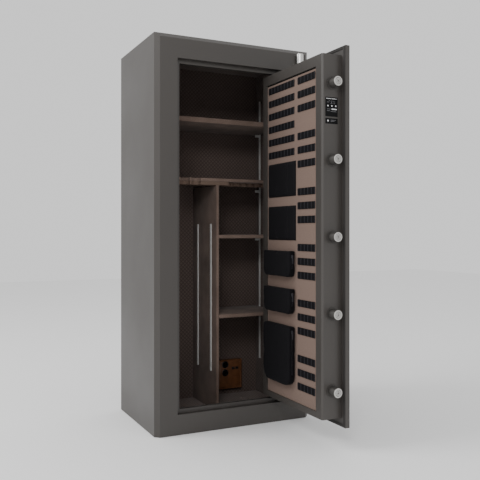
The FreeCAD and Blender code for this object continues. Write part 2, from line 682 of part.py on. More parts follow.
def pinion_shape():
    """A spur pinion in the XZ plane whose tooth space faces straight up to the rack."""
    module = size("gear_module")
    teeth = int(size("pinion_teeth"))
    pitch_radius = size("pitch_radius")
    pressure = math.radians(20)
    base_radius = pitch_radius * math.cos(pressure)
    addendum = 0.9 * module
    dedendum = 1.2 * module
    backlash = size("gear_play") / pitch_radius
    half_angle = math.pi / 2 / teeth + math.tan(pressure) - pressure - backlash / 2
    flank = involute_tooth(base_radius, pitch_radius - dedendum, pitch_radius + addendum,
                           half_angle)
    points = []
    for tooth in range(teeth):
        middle = math.pi / 2 + (tooth + 0.5) * 2 * math.pi / teeth
        for radius, angle in flank:
            points.append((radius, middle - angle))
        for radius, angle in reversed(flank):
            points.append((radius, middle + angle))
    front = size("bolt_y - gear_thick / 2")
    loop = [FreeCAD.Vector(size("spindle_x") + radius * math.cos(angle), front,
                           size("bolt_level") + radius * math.sin(angle))
            for radius, angle in points]
    blank = Part.Face(Part.makePolygon(loop + loop[:1]))
    gear = blank.extrude(FreeCAD.Vector(0, size("gear_thick"), 0))
    bore = Part.makeCylinder(size("spindle_radius"), size("gear_thick") + 2,
                             FreeCAD.Vector(size("spindle_x"), front - 1, size("bolt_level")),
                             FreeCAD.Vector(0, 1, 0))
    return gear.cut(bore)


def rack_shape():
    """A toothed bar above the pinion, one tooth pointing straight down at rest."""
    module = size("gear_module")
    pitch = math.pi * module
    slope = math.tan(math.radians(20))
    pitch_line = size("bolt_level + pitch_radius")
    left = size("bolt_end + carriage_width")
    middle = size("spindle_x")
    right = middle + 2 * pitch
    top = pitch_line + size("rack_height")
    addendum = 0.9 * module
    dedendum = 1.2 * module
    half = pitch / 4 - size("gear_play") / 2
    first = -int((size("bolt_throw") + 2 * pitch) // pitch)
    points = [(left, top), (left, pitch_line + dedendum)]
    for tooth in range(first, 2):
        centre = middle + tooth * pitch
        points += [(centre - half - dedendum * slope, pitch_line + dedendum),
                   (centre - half + addendum * slope, pitch_line - addendum),
                   (centre + half - addendum * slope, pitch_line - addendum),
                   (centre + half + dedendum * slope, pitch_line + dedendum)]
    points += [(right, pitch_line + dedendum), (right, top)]
    front = size("bolt_y - gear_thick / 2")
    loop = [FreeCAD.Vector(x, front, z) for x, z in points]
    return Part.Face(Part.makePolygon(loop + loop[:1])).extrude(
        FreeCAD.Vector(0, size("gear_thick"), 0))


def shaped(label, shape, on_door):
    feature = doc.addObject("Part::Feature", "Shaped")
    feature.Shape = shape
    place(feature, ("0", "0", "0"), on_door=on_door)
    return name_part(feature, label)


shaped("drive_rack", rack_shape(), on_door=True)
shaped("drive_pinion", pinion_shape(), on_door=True)

# ---------------------------------------------------------------- handle
front_side = "front_face - bushing_thick"
cut("handle_bushing", rod(None, "y", ("spindle_x", front_side, "bolt_level"),
                          "bushing_thick", "bushing_radius"),
    [rod(None, "y", ("spindle_x", f"{front_side} - 1", "bolt_level"), "bushing_thick + 2",
         "spindle_radius + run_play")], on_door=True)
spindle_front = f"{front_side} - run_play - hub_height / 2"
rod("handle_spindle", "y", ("spindle_x", spindle_front, "bolt_level"),
    f"bolt_y + gear_thick / 2 + spindle_tail - ({spindle_front})", "spindle_radius",
    on_door=True)

hub, hub_sketch = start_body("YZ_Plane", "spindle_x")
hub_back = f"{front_side} - run_play"
# each pair is a share of the hub's height and the share of its radius there
HUB_PROFILE = [(0, 0), (0, 1), (0.25, 1), (0.35, 0.8), (0.9, 0.7), (1, 0.55), (1, 0)]
outline(hub_sketch, [(f"{hub_back} - hub_height * {along}", f"bolt_level + hub_radius * {out}")
                     for along, out in HUB_PROFILE])
turned = hub.newObject("PartDesign::Revolution", "Turned")
turned.Profile = hub_sketch
turned.ReferenceAxis = (hub_sketch, [f"Edge{len(hub_sketch.Geometry)}"])
turned.Angle = 360
doc.recompute()
spoke_y = f"{hub_back} - spoke_lift"
spoke_total = int(size("spoke_count"))
spoke_angles = [90 + 360 * step / spoke_total for step in range(spoke_total)]


def spoke(angle):
    """One round spoke and its ball, pointing out of the hub at an angle."""
    bar = doc.addObject("Part::Cylinder", "Spoke")
    bar.setExpression("Radius", formula("spoke_radius"))
    bar.setExpression("Height", formula("spoke_reach"))
    place(bar, ("spindle_x", spoke_y, "bolt_level"),
          FreeCAD.Rotation(FreeCAD.Vector(0, 1, 0), 90 - angle))
    return bar


def ball(angle):
    knob = doc.addObject("Part::Sphere", "Ball")
    knob.setExpression("Radius", formula("knob_ball"))
    place(knob, (f"spindle_x + spoke_reach * {math.cos(math.radians(angle)):.6f}", spoke_y,
                 f"bolt_level + spoke_reach * {math.sin(math.radians(angle)):.6f}"))
    return knob


hub_core = rod(None, "y", ("spindle_x", f"{hub_back} - hub_height / 2", "bolt_level"),
               "hub_height", "spindle_radius")
cut("handle_hub", hub, [hub_core] + [spoke(angle) for angle in spoke_angles], on_door=True)
spokes = fuse(None, [cut(None, spoke(angle), [ball(angle)]) for angle in spoke_angles])
cut("handle_spokes", spokes, [rod(None, "y", ("spindle_x", f"{hub_back} - hub_height / 2",
                                              "bolt_level"), "hub_height", "spindle_radius")],
    on_door=True)
group("handle_knobs", [ball(angle) for angle in spoke_angles], on_door=True)

# ---------------------------------------------------------------- dial and lock
ring_front = "front_face - ring_thick"
cut("dial_ring", rod(None, "y", ("spindle_x", ring_front, "dial_z"), "ring_thick",
                     "ring_radius"),
    [rod(None, "y", ("spindle_x", f"{ring_front} - 1", "dial_z"), "ring_thick + 2",
         "dial_spindle_radius + run_play")], on_door=True)
dial_back = f"{ring_front} - run_play"
dial_body = fuse(None, [
    rod(None, "y", ("spindle_x", f"{dial_back} - dial_thick", "dial_z"), "dial_thick",
        "dial_radius"),
    rod(None, "y", ("spindle_x", f"{dial_back} - dial_thick - knob_height", "dial_z"),
        "knob_height", "knob_radius")])
cut("dial", dial_body, [rod(None, "y", ("spindle_x", f"{dial_back} - dial_thick / 2", "dial_z"),
                            "dial_thick", "dial_spindle_radius")], on_door=True)
lock_back = "lock_front + lock_depth"
rod("dial_spindle", "y", ("spindle_x", f"{dial_back} - dial_thick / 2", "dial_z"),
    f"({lock_back}) - lock_wall - 1 - ({dial_back} - dial_thick / 2)", "dial_spindle_radius",
    on_door=True)
lock_across = ("spindle_x - lock_width / 2", "spindle_x + lock_width / 2")
lock_high = ("dial_z - lock_height / 2", "dial_z + lock_height / 2")
inside = [(f"{low} + lock_wall", f"{high} - lock_wall")
          for low, high in (lock_across, ("lock_front", lock_back), lock_high)]
lock_bolt_z = "dial_z - lock_height / 2 + lock_wall + lock_bolt_width / 2"
lock_bolt_y = "lock_front + lock_depth / 2"


def lock_bar(across, margin):
    """The sliding bolt's square section, or the slot it runs in."""
    return block(None, across,
                 (f"{lock_bolt_y} - lock_bolt_thick / 2 - ({margin})",
                  f"{lock_bolt_y} + lock_bolt_thick / 2 + ({margin})"),
                 (f"{lock_bolt_z} - lock_bolt_width / 2 - ({margin}) + lock_bolt_play * 2",
                  f"{lock_bolt_z} + lock_bolt_width / 2 + ({margin}) - lock_bolt_play * 2"))


cut("lock_case", block(None, lock_across, ("lock_front", lock_back), lock_high), [
    block(None, *inside),
    rod(None, "y", ("spindle_x", "lock_front - 1", "dial_z"), "lock_wall + 2",
        "dial_spindle_radius + run_play"),
    lock_bar((f"{lock_across[0]} - 1", f"{lock_across[0]} + lock_wall + 1"),
             "lock_bolt_play")], on_door=True)
lock_bolt_tip = f"{lock_across[0]} - lock_bolt_proud"
lock_bolt = lock_bar((lock_bolt_tip, f"{lock_bolt_tip} + lock_bolt_length"), "0")
name_part(lock_bolt, "lock_bolt")
place(lock_bolt, (lock_bolt_tip, f"{lock_bolt_y} - lock_bolt_thick / 2",
                  f"{lock_bolt_z} - lock_bolt_width / 2 + lock_bolt_play * 2"), on_door=True)
first_wheel = "lock_front + lock_wall + wheel_pitch - wheel_thick"
wheels = [cut(None, rod(None, "y", ("spindle_x", f"{first_wheel} + {index} * wheel_pitch",
                                    "dial_z"), "wheel_thick", "wheel_radius"),
              [rod(None, "y", ("spindle_x", "lock_front", "dial_z"), "lock_depth",
                   "dial_spindle_radius")])
          for index in range(int(size("wheel_count")))]
group("wheel_pack", wheels, on_door=True)

# ---------------------------------------------------------------- storage panel
left_rows = [f"top_row - webbing_height - {row} * row_pitch"
             for row in range(int(size("left_rows")))]
per_group = int(size("right_rows"))
right_rows = [f"top_row - webbing_height - {row + bunch * (per_group + 1)} * row_pitch"
              for bunch in range(int(size("right_groups"))) for row in range(per_group)]


def strip(across, low, height, thick):
    return block(None, across, ("fabric_back", f"fabric_back + {thick}"),
                 (low, f"{low} + {height}"))


group("webbing_left", [strip(("column_right - left_column_width", "column_right"), low,
                             "webbing_height", "webbing_thick") for low in left_rows],
      on_door=True)
group("webbing_right", [strip(("column_left", "column_left + right_column_width"), low,
                              "webbing_height", "webbing_thick") for low in right_rows],
      on_door=True)
group("holster_panels", [strip(("column_right - holster_width", "column_right"), low,
                               "holster_tall * panel_scale", "holster_thick")
                         for low in ("panel_low + holster_upper * panel_scale",
                                     "panel_low + holster_lower * panel_scale")], on_door=True)
for letter, label in zip("abc", ("pouch_upper", "pouch_middle", "pouch_lower")):
    low = f"panel_low + pouch_{letter}_low * panel_scale"
    high = f"{low} + pouch_{letter}_tall * panel_scale"
    block(label, ("column_right - pouch_width", "column_right"),
          ("fabric_back", "fabric_back + pouch_thick"), (low, high), on_door=True)

label_deep = ("front_face + label_depth", "front_face + label_depth + label_width")
label_across = ("case_left - label_thick", "case_left")
group("rating_labels", [
    block(None, label_across, label_deep, ("label_level", "label_level + label_height")),
    block(None, label_across, label_deep,
          ("label_level - label_gap - small_label_height", "label_level - label_gap"))],
    on_door=True)

# ---------------------------------------------------------------- check and write
doc.recompute()
for thing in doc.Objects:
    if {"Invalid", "Error"} & set(thing.State):
        raise RuntimeError(f"{thing.Name} ({thing.Label}) failed: {thing.State}")
os.makedirs("parts", exist_ok=True)
for label, thing in subparts.items():
    if thing.Shape.isNull() or not thing.Shape.isValid() or not thing.Shape.Solids:
        raise RuntimeError(f"{label} has no valid solid")
    thing.Shape.exportStep(f"parts/{label}.step")
print(f"{len(subparts)} sub-parts written")
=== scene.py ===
import bpy
import bmesh
import math
from mathutils import Matrix, Vector


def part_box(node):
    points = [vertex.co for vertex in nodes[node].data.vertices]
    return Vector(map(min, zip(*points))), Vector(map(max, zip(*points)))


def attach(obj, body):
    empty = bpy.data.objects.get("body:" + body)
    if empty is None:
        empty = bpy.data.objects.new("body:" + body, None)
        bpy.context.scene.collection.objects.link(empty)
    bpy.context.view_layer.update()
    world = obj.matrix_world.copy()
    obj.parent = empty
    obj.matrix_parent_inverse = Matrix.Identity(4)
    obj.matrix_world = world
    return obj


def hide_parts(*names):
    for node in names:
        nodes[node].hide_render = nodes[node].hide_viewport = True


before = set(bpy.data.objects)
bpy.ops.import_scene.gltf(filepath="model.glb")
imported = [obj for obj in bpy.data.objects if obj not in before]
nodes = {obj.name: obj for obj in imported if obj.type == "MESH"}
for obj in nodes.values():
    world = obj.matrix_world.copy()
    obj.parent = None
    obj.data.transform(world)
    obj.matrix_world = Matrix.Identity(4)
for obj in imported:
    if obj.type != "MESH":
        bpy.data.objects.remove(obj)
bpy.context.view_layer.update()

# ---------------------------------------------------------------- camera
# A camera at standing height to the left of the doorway, level, with a slightly
# long lens. Its shift only sets the height of the horizon in the frame.
camera = bpy.data.objects.new("camera", bpy.data.cameras.new("camera"))
bpy.context.scene.collection.objects.link(camera)
camera.location = (-1.1369, -2.5863, 0.7613)
camera.rotation_euler = (math.radians(90), 0, math.radians(-26.02))
camera.data.lens = 50.48
camera.data.sensor_width = 36
camera.data.shift_y = -0.018
camera.data.clip_start = 0.05
camera.data.clip_end = 60
bpy.context.scene.camera = camera

# ---------------------------------------------------------------- cabinet shell
# The body is folded sheet steel: two sides, a back, a top, a floor and a front
# frame with bevelled outer edges, welded, ground flush and baked with one enamel.


def linear(colour):
    """An sRGB hex colour as linear red, green, blue and alpha."""
    shares = [int(colour[i:i + 2], 16) / 255 for i in (1, 3, 5)]
    return tuple(s / 12.92 if s <= 0.04045 else ((s + 0.055) / 1.055) ** 2.4
                 for s in shares) + (1.0,)


def add(finish, kind, feeds=(), **settings):
    """Add one node with its settings, and give its sockets values or links."""
    node = finish.node_tree.nodes.new("ShaderNode" + kind)
    for name, value in settings.items():
        setattr(node, name, value)
    for name, value in dict(feeds).items():
        if isinstance(value, bpy.types.NodeSocket):
            finish.node_tree.links.new(value, node.inputs[name])
        else:
            node.inputs[name].default_value = value
    return node


def new_finish(name, colour, gloss=0.5, **sockets):
    """A material and its shader, with the shader's own sockets set."""
    finish = bpy.data.materials.new(name)
    finish.use_nodes = True
    shader = finish.node_tree.nodes["Principled BSDF"]
    shader.inputs["Base Color"].default_value = linear(colour)
    shader.inputs["Specular IOR Level"].default_value = gloss
    for socket, value in sockets.items():
        shader.inputs[socket.replace("_", " ").title()].default_value = value
    return finish, shader


def wire(finish, shader, **links):
    """Link node outputs into the shader."""
    for socket, output in links.items():
        finish.node_tree.links.new(output, shader.inputs[socket.replace("_", " ").title()])


def two_tone(finish, factor, dark, light):
    """A colour between two, by a factor."""
    mix = add(finish, "Mix", {0: factor, 6: linear(dark), 7: linear(light)}, data_type="RGBA")
    return mix.outputs[2]


def give(finish, *names):
    """Give CAD nodes or new pieces one finish."""
    for name in names:
        piece = nodes.get(name) or bpy.data.objects[name]
        if not piece.material_slots:
            piece.data.materials.append(finish)
        for slot in piece.material_slots:
            slot.material = finish


def grained(name, colour, grain, tones=None, detail=2.0, relief=None, polish=None, **sockets):
    """A finish with one random grain, in its tones, its relief or its roughness."""
    finish, shader = new_finish(name, colour, **sockets)
    fleck = add(finish, "TexNoise", {"Vector": add(finish, "TexCoord").outputs["Object"],
                                     "Scale": 1 / grain, "Detail": detail}).outputs["Fac"]
    if tones:
        wire(finish, shader, base_color=two_tone(finish, fleck, *tones))
    if relief:
        wire(finish, shader, normal=add(finish, "Bump", {
            "Height": fleck, "Strength": relief[0], "Distance": relief[1]}).outputs["Normal"])
    if polish:
        spans = dict(zip(("From Min", "From Max", "To Min", "To Max"), polish))
        wire(finish, shader, roughness=add(finish, "MapRange", {
            "Value": fleck, **spans}).outputs["Result"])
    return finish


# Baked enamel on steel: a dark warm grey, satin, with a faint orange peel of about
# 1.5 mm and slow changes of tone where the coat is thicker.
enamel, shader = new_finish("baked_enamel_on_steel", "#3b3835", roughness=0.42)
where = add(enamel, "TexCoord").outputs["Object"]
peel = add(enamel, "TexNoise", {"Vector": where, "Scale": 1 / 0.0015, "Detail": 2.0})
drift = add(enamel, "TexNoise", {"Vector": where, "Scale": 1 / 0.35, "Detail": 3.0})
wire(enamel, shader,
     base_color=two_tone(enamel, drift.outputs["Fac"], "#373431", "#403c39"),
     normal=add(enamel, "Bump", {"Height": peel.outputs["Fac"], "Strength": 0.06,
                                 "Distance": 0.0004}).outputs["Normal"],
     roughness=add(enamel, "MapRange", {"Value": drift.outputs["Fac"], "From Min": 0.3,
                                        "From Max": 0.7, "To Min": 0.38,
                                        "To Max": 0.48}).outputs["Result"])
give(enamel, "side_panel_left", "side_panel_right", "rear_panel", "top_panel", "bottom_panel",
     "front_jamb_left", "front_jamb_right", "front_header", "front_sill", "frame_stops")

# Gypsum fireboard: chalky light grey paper face, seen only at cut edges.
gypsum = grained("gypsum_fireboard", "#c6c1b6", 0.003, ("#b5afa3", "#d3cec3"), 5.0,
                 relief=(0.25, 0.0006), roughness=0.9)
give(gypsum, "fireboard", "door_fireboard")

# ---------------------------------------------------------------- lining
# The walls, floor and ceiling inside are covered with glued brown marine carpet,
# whose pile is pressed with small diamonds.


def carpet(name, dark, light, flat):
    """Pressed diamond carpet for upright walls, or flat for floors and ceilings."""
    finish, shader = new_finish(name, dark, gloss=0.1, roughness=0.95, sheen_weight=0.1,
                                sheen_roughness=0.6)
    axes = add(finish, "SeparateXYZ", {"Vector": add(finish, "TexCoord").outputs["Object"]})
    along = axes.outputs["X"] if flat else add(
        finish, "Math", {0: axes.outputs["X"], 1: axes.outputs["Y"]},
        operation="ADD").outputs["Value"]
    up = axes.outputs["Y"] if flat else axes.outputs["Z"]
    face = add(finish, "CombineXYZ", {"X": along, "Y": up}).outputs["Vector"]
    plane = add(finish, "Mapping", {"Vector": face,
                                    "Rotation": (0, 0, math.radians(45))}).outputs["Vector"]
    # the real diamonds are about 8 mm apart, drawn at 12 mm so that they show
    diamonds = add(finish, "TexVoronoi", {"Vector": plane, "Scale": 1 / 0.012,
                                          "Randomness": 0.0},
                   voronoi_dimensions="2D", distance="CHEBYCHEV")
    raised = add(finish, "MapRange", {"Value": diamonds.outputs["Distance"], "From Min": 0.3,
                                      "From Max": 0.46, "To Min": 1.0, "To Max": 0.0})
    pile = add(finish, "TexNoise", {"Vector": plane, "Scale": 1 / 0.0018, "Detail": 3.0},
               noise_dimensions="2D")
    tone = add(finish, "Math", {0: raised.outputs["Result"], 1: pile.outputs["Fac"]},
               operation="MULTIPLY")
    height = add(finish, "Math", {0: tone.outputs["Value"], 1: pile.outputs["Fac"]},
                 operation="ADD")
    wire(finish, shader, base_color=two_tone(finish, tone.outputs["Value"], dark, light),
         normal=add(finish, "Bump", {"Height": height.outputs["Value"], "Strength": 0.5,
                                     "Distance": 0.001}).outputs["Normal"])
    return finish


wall_carpet = carpet("brown_marine_carpet_wall", "#4b403c", "#6f625c", False)
flat_carpet = carpet("brown_marine_carpet_flat", "#5c4f4a", "#83756e", True)
give(wall_carpet, "lining_left", "lining_right", "lining_rear")
give(flat_carpet, "lining_floor", "lining_ceiling")

# ---------------------------------------------------------------- shelves and divider
# Particle board shelves and an upright divider, each wrapped in short taupe carpet
# that is folded round the edges, so that no corner is sharp.


def clear():
    """Leave nothing selected, so that an operator acts on one piece only."""
    if bpy.context.object and bpy.context.object.mode != "OBJECT":
        bpy.ops.object.mode_set(mode="OBJECT")
    bpy.ops.object.select_all(action="DESELECT")


def hold(piece):
    """Make one piece the only one selected and active."""
    clear()
    piece.select_set(True)
    bpy.context.view_layer.objects.active = piece


def pick(piece, kind, test):
    """Select a piece's faces, edges or corners that pass a test, in edit mode."""
    hold(piece)
    bpy.ops.object.mode_set(mode="EDIT")
    bpy.ops.mesh.select_mode(type=kind)
    bpy.ops.mesh.select_all(action="DESELECT")
    shape = bmesh.from_edit_mesh(piece.data)
    for part in {"FACE": shape.faces, "EDGE": shape.edges, "VERT": shape.verts}[kind]:
        part.select_set(bool(test(part)))
    bmesh.update_edit_mesh(piece.data)


def finish_with(piece, kind, **settings):
    """Add a modifier to a piece and apply it."""
    hold(piece)
    modifier = piece.modifiers.new(kind.title(), kind)
    for name, value in settings.items():
        setattr(modifier, name, value)
    bpy.ops.object.modifier_apply(modifier=modifier.name)


def smooth(piece, degrees=35):
    hold(piece)
    bpy.ops.object.shade_smooth_by_angle(angle=math.radians(degrees))


def softened(node, name, radius):
    """A copy of a CAD piece with its edges rounded over, to stand for it."""
    piece = bpy.data.objects.new(name, nodes[node].data.copy())
    bpy.context.scene.collection.objects.link(piece)
    pick(piece, "VERT", lambda corner: True)
    bpy.ops.mesh.remove_doubles(threshold=0.00001)
    bpy.ops.mesh.dissolve_limited(angle_limit=math.radians(2))
    bpy.ops.object.mode_set(mode="OBJECT")
    finish_with(piece, "BEVEL", width=radius, segments=3, limit_method="ANGLE",
                angle_limit=math.radians(50))
    smooth(piece, 50)
    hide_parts(node)
    return piece


def settle(piece, finish, body):
    """Finish a new piece: its material and its body."""
    give(finish, piece.name)
    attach(piece, body)


board_carpet, shader = new_finish("taupe_short_pile_carpet", "#6d5a4f", gloss=0.1,
                                  roughness=0.95, sheen_weight=0.08, sheen_roughness=0.6)
where = add(board_carpet, "TexCoord").outputs["Object"]
fibre = add(board_carpet, "TexNoise", {"Vector": where, "Scale": 1 / 0.002, "Detail": 4.0})
patch = add(board_carpet, "TexNoise", {"Vector": where, "Scale": 1 / 0.12, "Detail": 2.0})
tone = add(board_carpet, "Math", {0: fibre.outputs["Fac"], 1: patch.outputs["Fac"]},
           operation="MULTIPLY")
shade = add(board_carpet, "MapRange", {"Value": tone.outputs["Value"], "From Min": 0.1,
                                       "From Max": 0.4})
wire(board_carpet, shader,
     base_color=two_tone(board_carpet, shade.outputs["Result"], "#54463f", "#7a685e"),
     normal=add(board_carpet, "Bump", {"Height": fibre.outputs["Fac"], "Strength": 0.45,
                                       "Distance": 0.0008}).outputs["Normal"])
wrap_radius = 0.0025
for node in ("upper_shelf", "middle_shelf", "lower_shelf", "divider", "rack_board"):
    settle(softened(node, f"{node}_wrapped", wrap_radius), board_carpet,
           "cabinet")

# ---------------------------------------------------------------- barrel rack
# Strips of moulded closed-cell foam with a row of round cut-outs that hold the long
# guns upright; the light one is on the left, a deeper row is under the right side.
foam, shader = new_finish("closed_cell_foam", "#66554b", gloss=0.2, roughness=0.85)
where = add(foam, "TexCoord").outputs["Object"]
cells = add(foam, "TexVoronoi", {"Vector": where, "Scale": 1 / 0.0016})
wire(foam, shader,
     base_color=two_tone(foam, cells.outputs["Distance"], "#6d5b50", "#56473e"),
     normal=add(foam, "Bump", {"Height": cells.outputs["Distance"], "Strength": 0.3,
                               "Distance": 0.0004}).outputs["Normal"])
cut_radius = 0.0012
settle(softened("rack_strips", "rack_foam", cut_radius), foam, "cabinet")

# ---------------------------------------------------------------- shelf standards
# Slotted strips of zinc-plated steel on the walls and the divider, with hooked clips
# that carry the shelves. Zinc plate is a soft, slightly blue grey with fine scratches.
zinc, shader = new_finish("zinc_plated_steel", "#d2d2cf", metallic=0.3, roughness=0.4)
where = add(zinc, "TexCoord").outputs["Object"]
stretch = add(zinc, "Mapping", {"Vector": where, "Scale": (1.0, 1.0, 0.06)})
drawn = add(zinc, "TexNoise", {"Vector": stretch.outputs["Vector"], "Scale": 1 / 0.0009,
                               "Detail": 3.0})
wire(zinc, shader,
     base_color=two_tone(zinc, drawn.outputs["Fac"], "#c0c0be", "#e4e4e1"),
     roughness=add(zinc, "MapRange", {"Value": drawn.outputs["Fac"], "From Min": 0.3,
                                      "From Max": 0.7, "To Min": 0.28,
                                      "To Max": 0.45}).outputs["Result"])
give(zinc, "shelf_standards")
stamped_radius = 0.0012
settle(softened("shelf_clips", "shelf_clip_hooks", stamped_radius), zinc,
       "cabinet")

# ---------------------------------------------------------------- outlet box
# A shallow steel box on the rear wall, enamelled copper brown, with a raised cover,
# two round sockets, two small charging ports, a few louvres and two screws.


def block(name, low, high):
    """A cuboid between two corners, the start of a shaped piece."""
    clear()
    low, high = Vector(low), Vector(high)
    bpy.ops.mesh.primitive_cube_add(size=1, location=(low + high) / 2)
    piece = bpy.context.object
    piece.name = name
    piece.scale = high - low
    bpy.ops.object.transform_apply(location=True, rotation=True, scale=True)
    return piece


def disc(name, centre, radius, depth, turn=(0, 0, 0), corners=40):
    """A round blank about a centre, its axis turned, the start of a turned piece."""
    clear()
    bpy.ops.mesh.primitive_cylinder_add(vertices=corners, radius=radius, depth=depth,
                                        location=centre, rotation=turn)
    piece = bpy.context.object
    piece.name = name
    bpy.ops.object.transform_apply(location=True, rotation=True, scale=True)
    return piece


def step_face(piece, facing, steps):
    """Inset the faces that look one way and push them in or out, once for each step."""
    facing = Vector(facing)
    pick(piece, "FACE", lambda face: face.normal.dot(facing) > 0.99)
    for inset, push in steps:
        if inset:
            bpy.ops.mesh.inset(thickness=inset, depth=0)
        if push:
            bpy.ops.mesh.extrude_region_move(TRANSFORM_OT_translate={"value": facing * push})
    bpy.ops.object.mode_set(mode="OBJECT")


def join(name, pieces):
    """Several pieces as one object."""
    clear()
    for piece in pieces:
        piece.select_set(True)
    bpy.context.view_layer.objects.active = pieces[0]
    if len(pieces) > 1:
        bpy.ops.object.join()
    pieces[0].name = name
    return pieces[0]


def rounded(piece, radius, segments=2, degrees=50):
    finish_with(piece, "BEVEL", width=radius, segments=segments, limit_method="ANGLE",
                angle_limit=math.radians(degrees), use_clamp_overlap=True)
    smooth(piece, 45)
    return piece


# Copper-brown enamel is glossy, with a cloudy mottle of about 20 mm. Moulded ABS is a
# satin near-black with a fine etched grain of 0.7 mm.
copper = grained("copper_brown_enamel", "#63402a", 0.02, ("#4e301d", "#7a5032"), 4.0,
                 relief=(0.1, 0.0005), roughness=0.38)
abs_black = grained("moulded_black_abs", "#17171a", 0.0007, relief=(0.15, 0.0002),
                    roughness=0.45)

forward = (0, -1, 0)
along_y = (math.radians(90), 0, 0)
# each step is an inset and a push outwards
cover_steps = [(0.005, -0.002), (0.002, 0.0015)]
rim_steps = [(0.002, 0.001), (0.0015, -0.0035)]
slot_steps = [(0.0003, -0.0006)]
port_steps = [(0.0018, -0.0022), (0.0022, 0.0012)]
screw_steps = [(0.0006, 0.0006), (0.0012, -0.0008)]
box_low, box_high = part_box("outlet_box")
outlet = block("outlet_cover", box_low, box_high)
step_face(outlet, forward, cover_steps)
rounded(outlet, 0.0015)
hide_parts("outlet_box")
settle(outlet, copper, "cabinet")

socket_low, socket_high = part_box("outlet_sockets")
face_y = box_low.y
socket_inset, rim_radius, rim_deep = 0.012, 0.0155, 0.003
slot_half_wide, slot_half_high = 0.0009, 0.0035
port_wide, port_pitch, port_half_high = 0.014, 0.0182, 0.0055
middle_x = socket_low.x + socket_inset
middle_z = (socket_low.z + socket_high.z) / 2
sockets = []
for socket_z in (socket_low.z + socket_inset, socket_high.z - socket_inset):
    rim = disc("socket", (middle_x, face_y - 0.0005, socket_z), rim_radius, rim_deep, along_y)
    step_face(rim, forward, rim_steps)
    sockets.append(rounded(rim, 0.0004))
    for slot_x, slot_z in ((-0.0045, 0.002), (0.0045, 0.002), (0, -0.006)):
        x, z = middle_x + slot_x, socket_z + slot_z
        contact = block("slot", (x - slot_half_wide, face_y - 0.0009, z - slot_half_high),
                        (x + slot_half_wide, face_y + 0.0012, z + slot_half_high))
        step_face(contact, forward, slot_steps)
        sockets.append(contact)
port_x = socket_high.x - port_wide
for left in (port_x - port_pitch, port_x):
    port = block("port", (left, face_y - 0.002, middle_z - port_half_high),
                 (left + port_wide, face_y + 0.001, middle_z + port_half_high))
    step_face(port, forward, port_steps)
    sockets.append(rounded(port, 0.0005))
sockets = join("outlet_fittings", sockets)
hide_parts("outlet_sockets")
settle(sockets, abs_black, "cabinet")

# the louvres slope back to the face at their right edge
louvre_start, louvre_pitch, louvre_wide = box_high.x - 0.049, 0.0062, 0.003
louvre_low, louvre_high, louvre_slope = box_low.z + 0.022, box_low.z + 0.052, 0.0007
louvres = []
for index in range(6):
    left = louvre_start + index * louvre_pitch
    slat = block("slat", (left, face_y - 0.0008, louvre_low),
                 (left + louvre_wide, face_y + 0.0006, louvre_high))
    pick(slat, "EDGE", lambda edge: all(v.co.y < face_y for v in edge.verts)
         and all(v.co.x > left + louvre_wide / 2 for v in edge.verts))
    bpy.ops.transform.translate(value=(0, louvre_slope, 0))
    bpy.ops.object.mode_set(mode="OBJECT")
    louvres.append(slat)
screw_inset, screw_radius, screw_deep = 0.012, 0.0035, 0.002
for screw_x in (box_low.x + screw_inset, box_high.x - screw_inset):
    head = disc("screw", (screw_x, face_y - 0.0002, box_high.z - screw_inset), screw_radius,
                screw_deep, along_y, 24)
    step_face(head, forward, screw_steps)
    louvres.append(rounded(head, 0.0003))
louvres = join("outlet_louvres", louvres)
settle(louvres, copper, "cabinet")

# ---------------------------------------------------------------- hinges
# The door swings on pins hidden inside the frame. Black oxide is a thin blued film
# on steel. The two posts on the front face are ground bar with turned end caps.
blued = grained("black_oxide_steel", "#1c1c1e", 0.006, ("#161618", "#29292c"), 4.0,
                polish=(0.3, 0.7, 0.34, 0.52), metallic=0.85, roughness=0.42)
give(blued, "hinge_brackets", "bolt_carriage", "drive_rack", "drive_pinion", "lock_case")

ground = grained("satin_ground_steel", "#c9c8c5", 0.0012, ("#bdbcb9", "#d6d5d3"), 3.0,
                 polish=(0.3, 0.7, 0.24, 0.4), metallic=1.0, roughness=0.3)
give(ground, "hinge_pins", "hinge_barrels", "lock_bolt", "dial_spindle", "handle_spindle")

post_low, post_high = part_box("hinge_barrels")
post_x = (post_low.x + post_high.x) / 2
post_y = post_low.y + (post_high.x - post_low.x) / 2
post_radius = (post_high.x - post_low.x) / 2
post_tall, cap_tall = 0.1, 0.002
cap_radius = post_radius * 0.92
cap_steps = [(0.002, 0.0015), (0.003, 0.0008)]
caps = []
for level, way in ((post_low.z, -1), (post_low.z + post_tall, 1),
                   (post_high.z - post_tall, -1), (post_high.z, 1)):
    cap = disc("cap", (post_x, post_y, level + way * cap_tall / 2), cap_radius, cap_tall)
    step_face(cap, (0, 0, way), cap_steps)
    caps.append(rounded(cap, 0.0006))
caps = join("hinge_post_caps", caps)
settle(caps, ground, "cabinet")

# Sintered bronze: warm, dull and finely pitted.
bronze = grained("sintered_bronze", "#a8834f", 0.0006, ("#66573f", "#857354"), 3.0,
                 relief=(0.2, 0.0002), metallic=1.0, roughness=0.48)
give(bronze, "thrust_washer", "wheel_pack", "handle_bushing")

# ---------------------------------------------------------------- door
# A thick plate with rounded edges carries a deep folded casing. Both wear the same
# enamel as the body; a strip that swells in a fire is bonded round the plate.
give(enamel, "door_plate", "door_case")
# The strip is matt and pebbled, like pressed rubber.
strip = grained("intumescent_strip", "#262422", 0.0015, ("#1e1c1b", "#34312f"), 3.0,
                relief=(0.3, 0.0004), roughness=0.8)
give(strip, "door_seal")

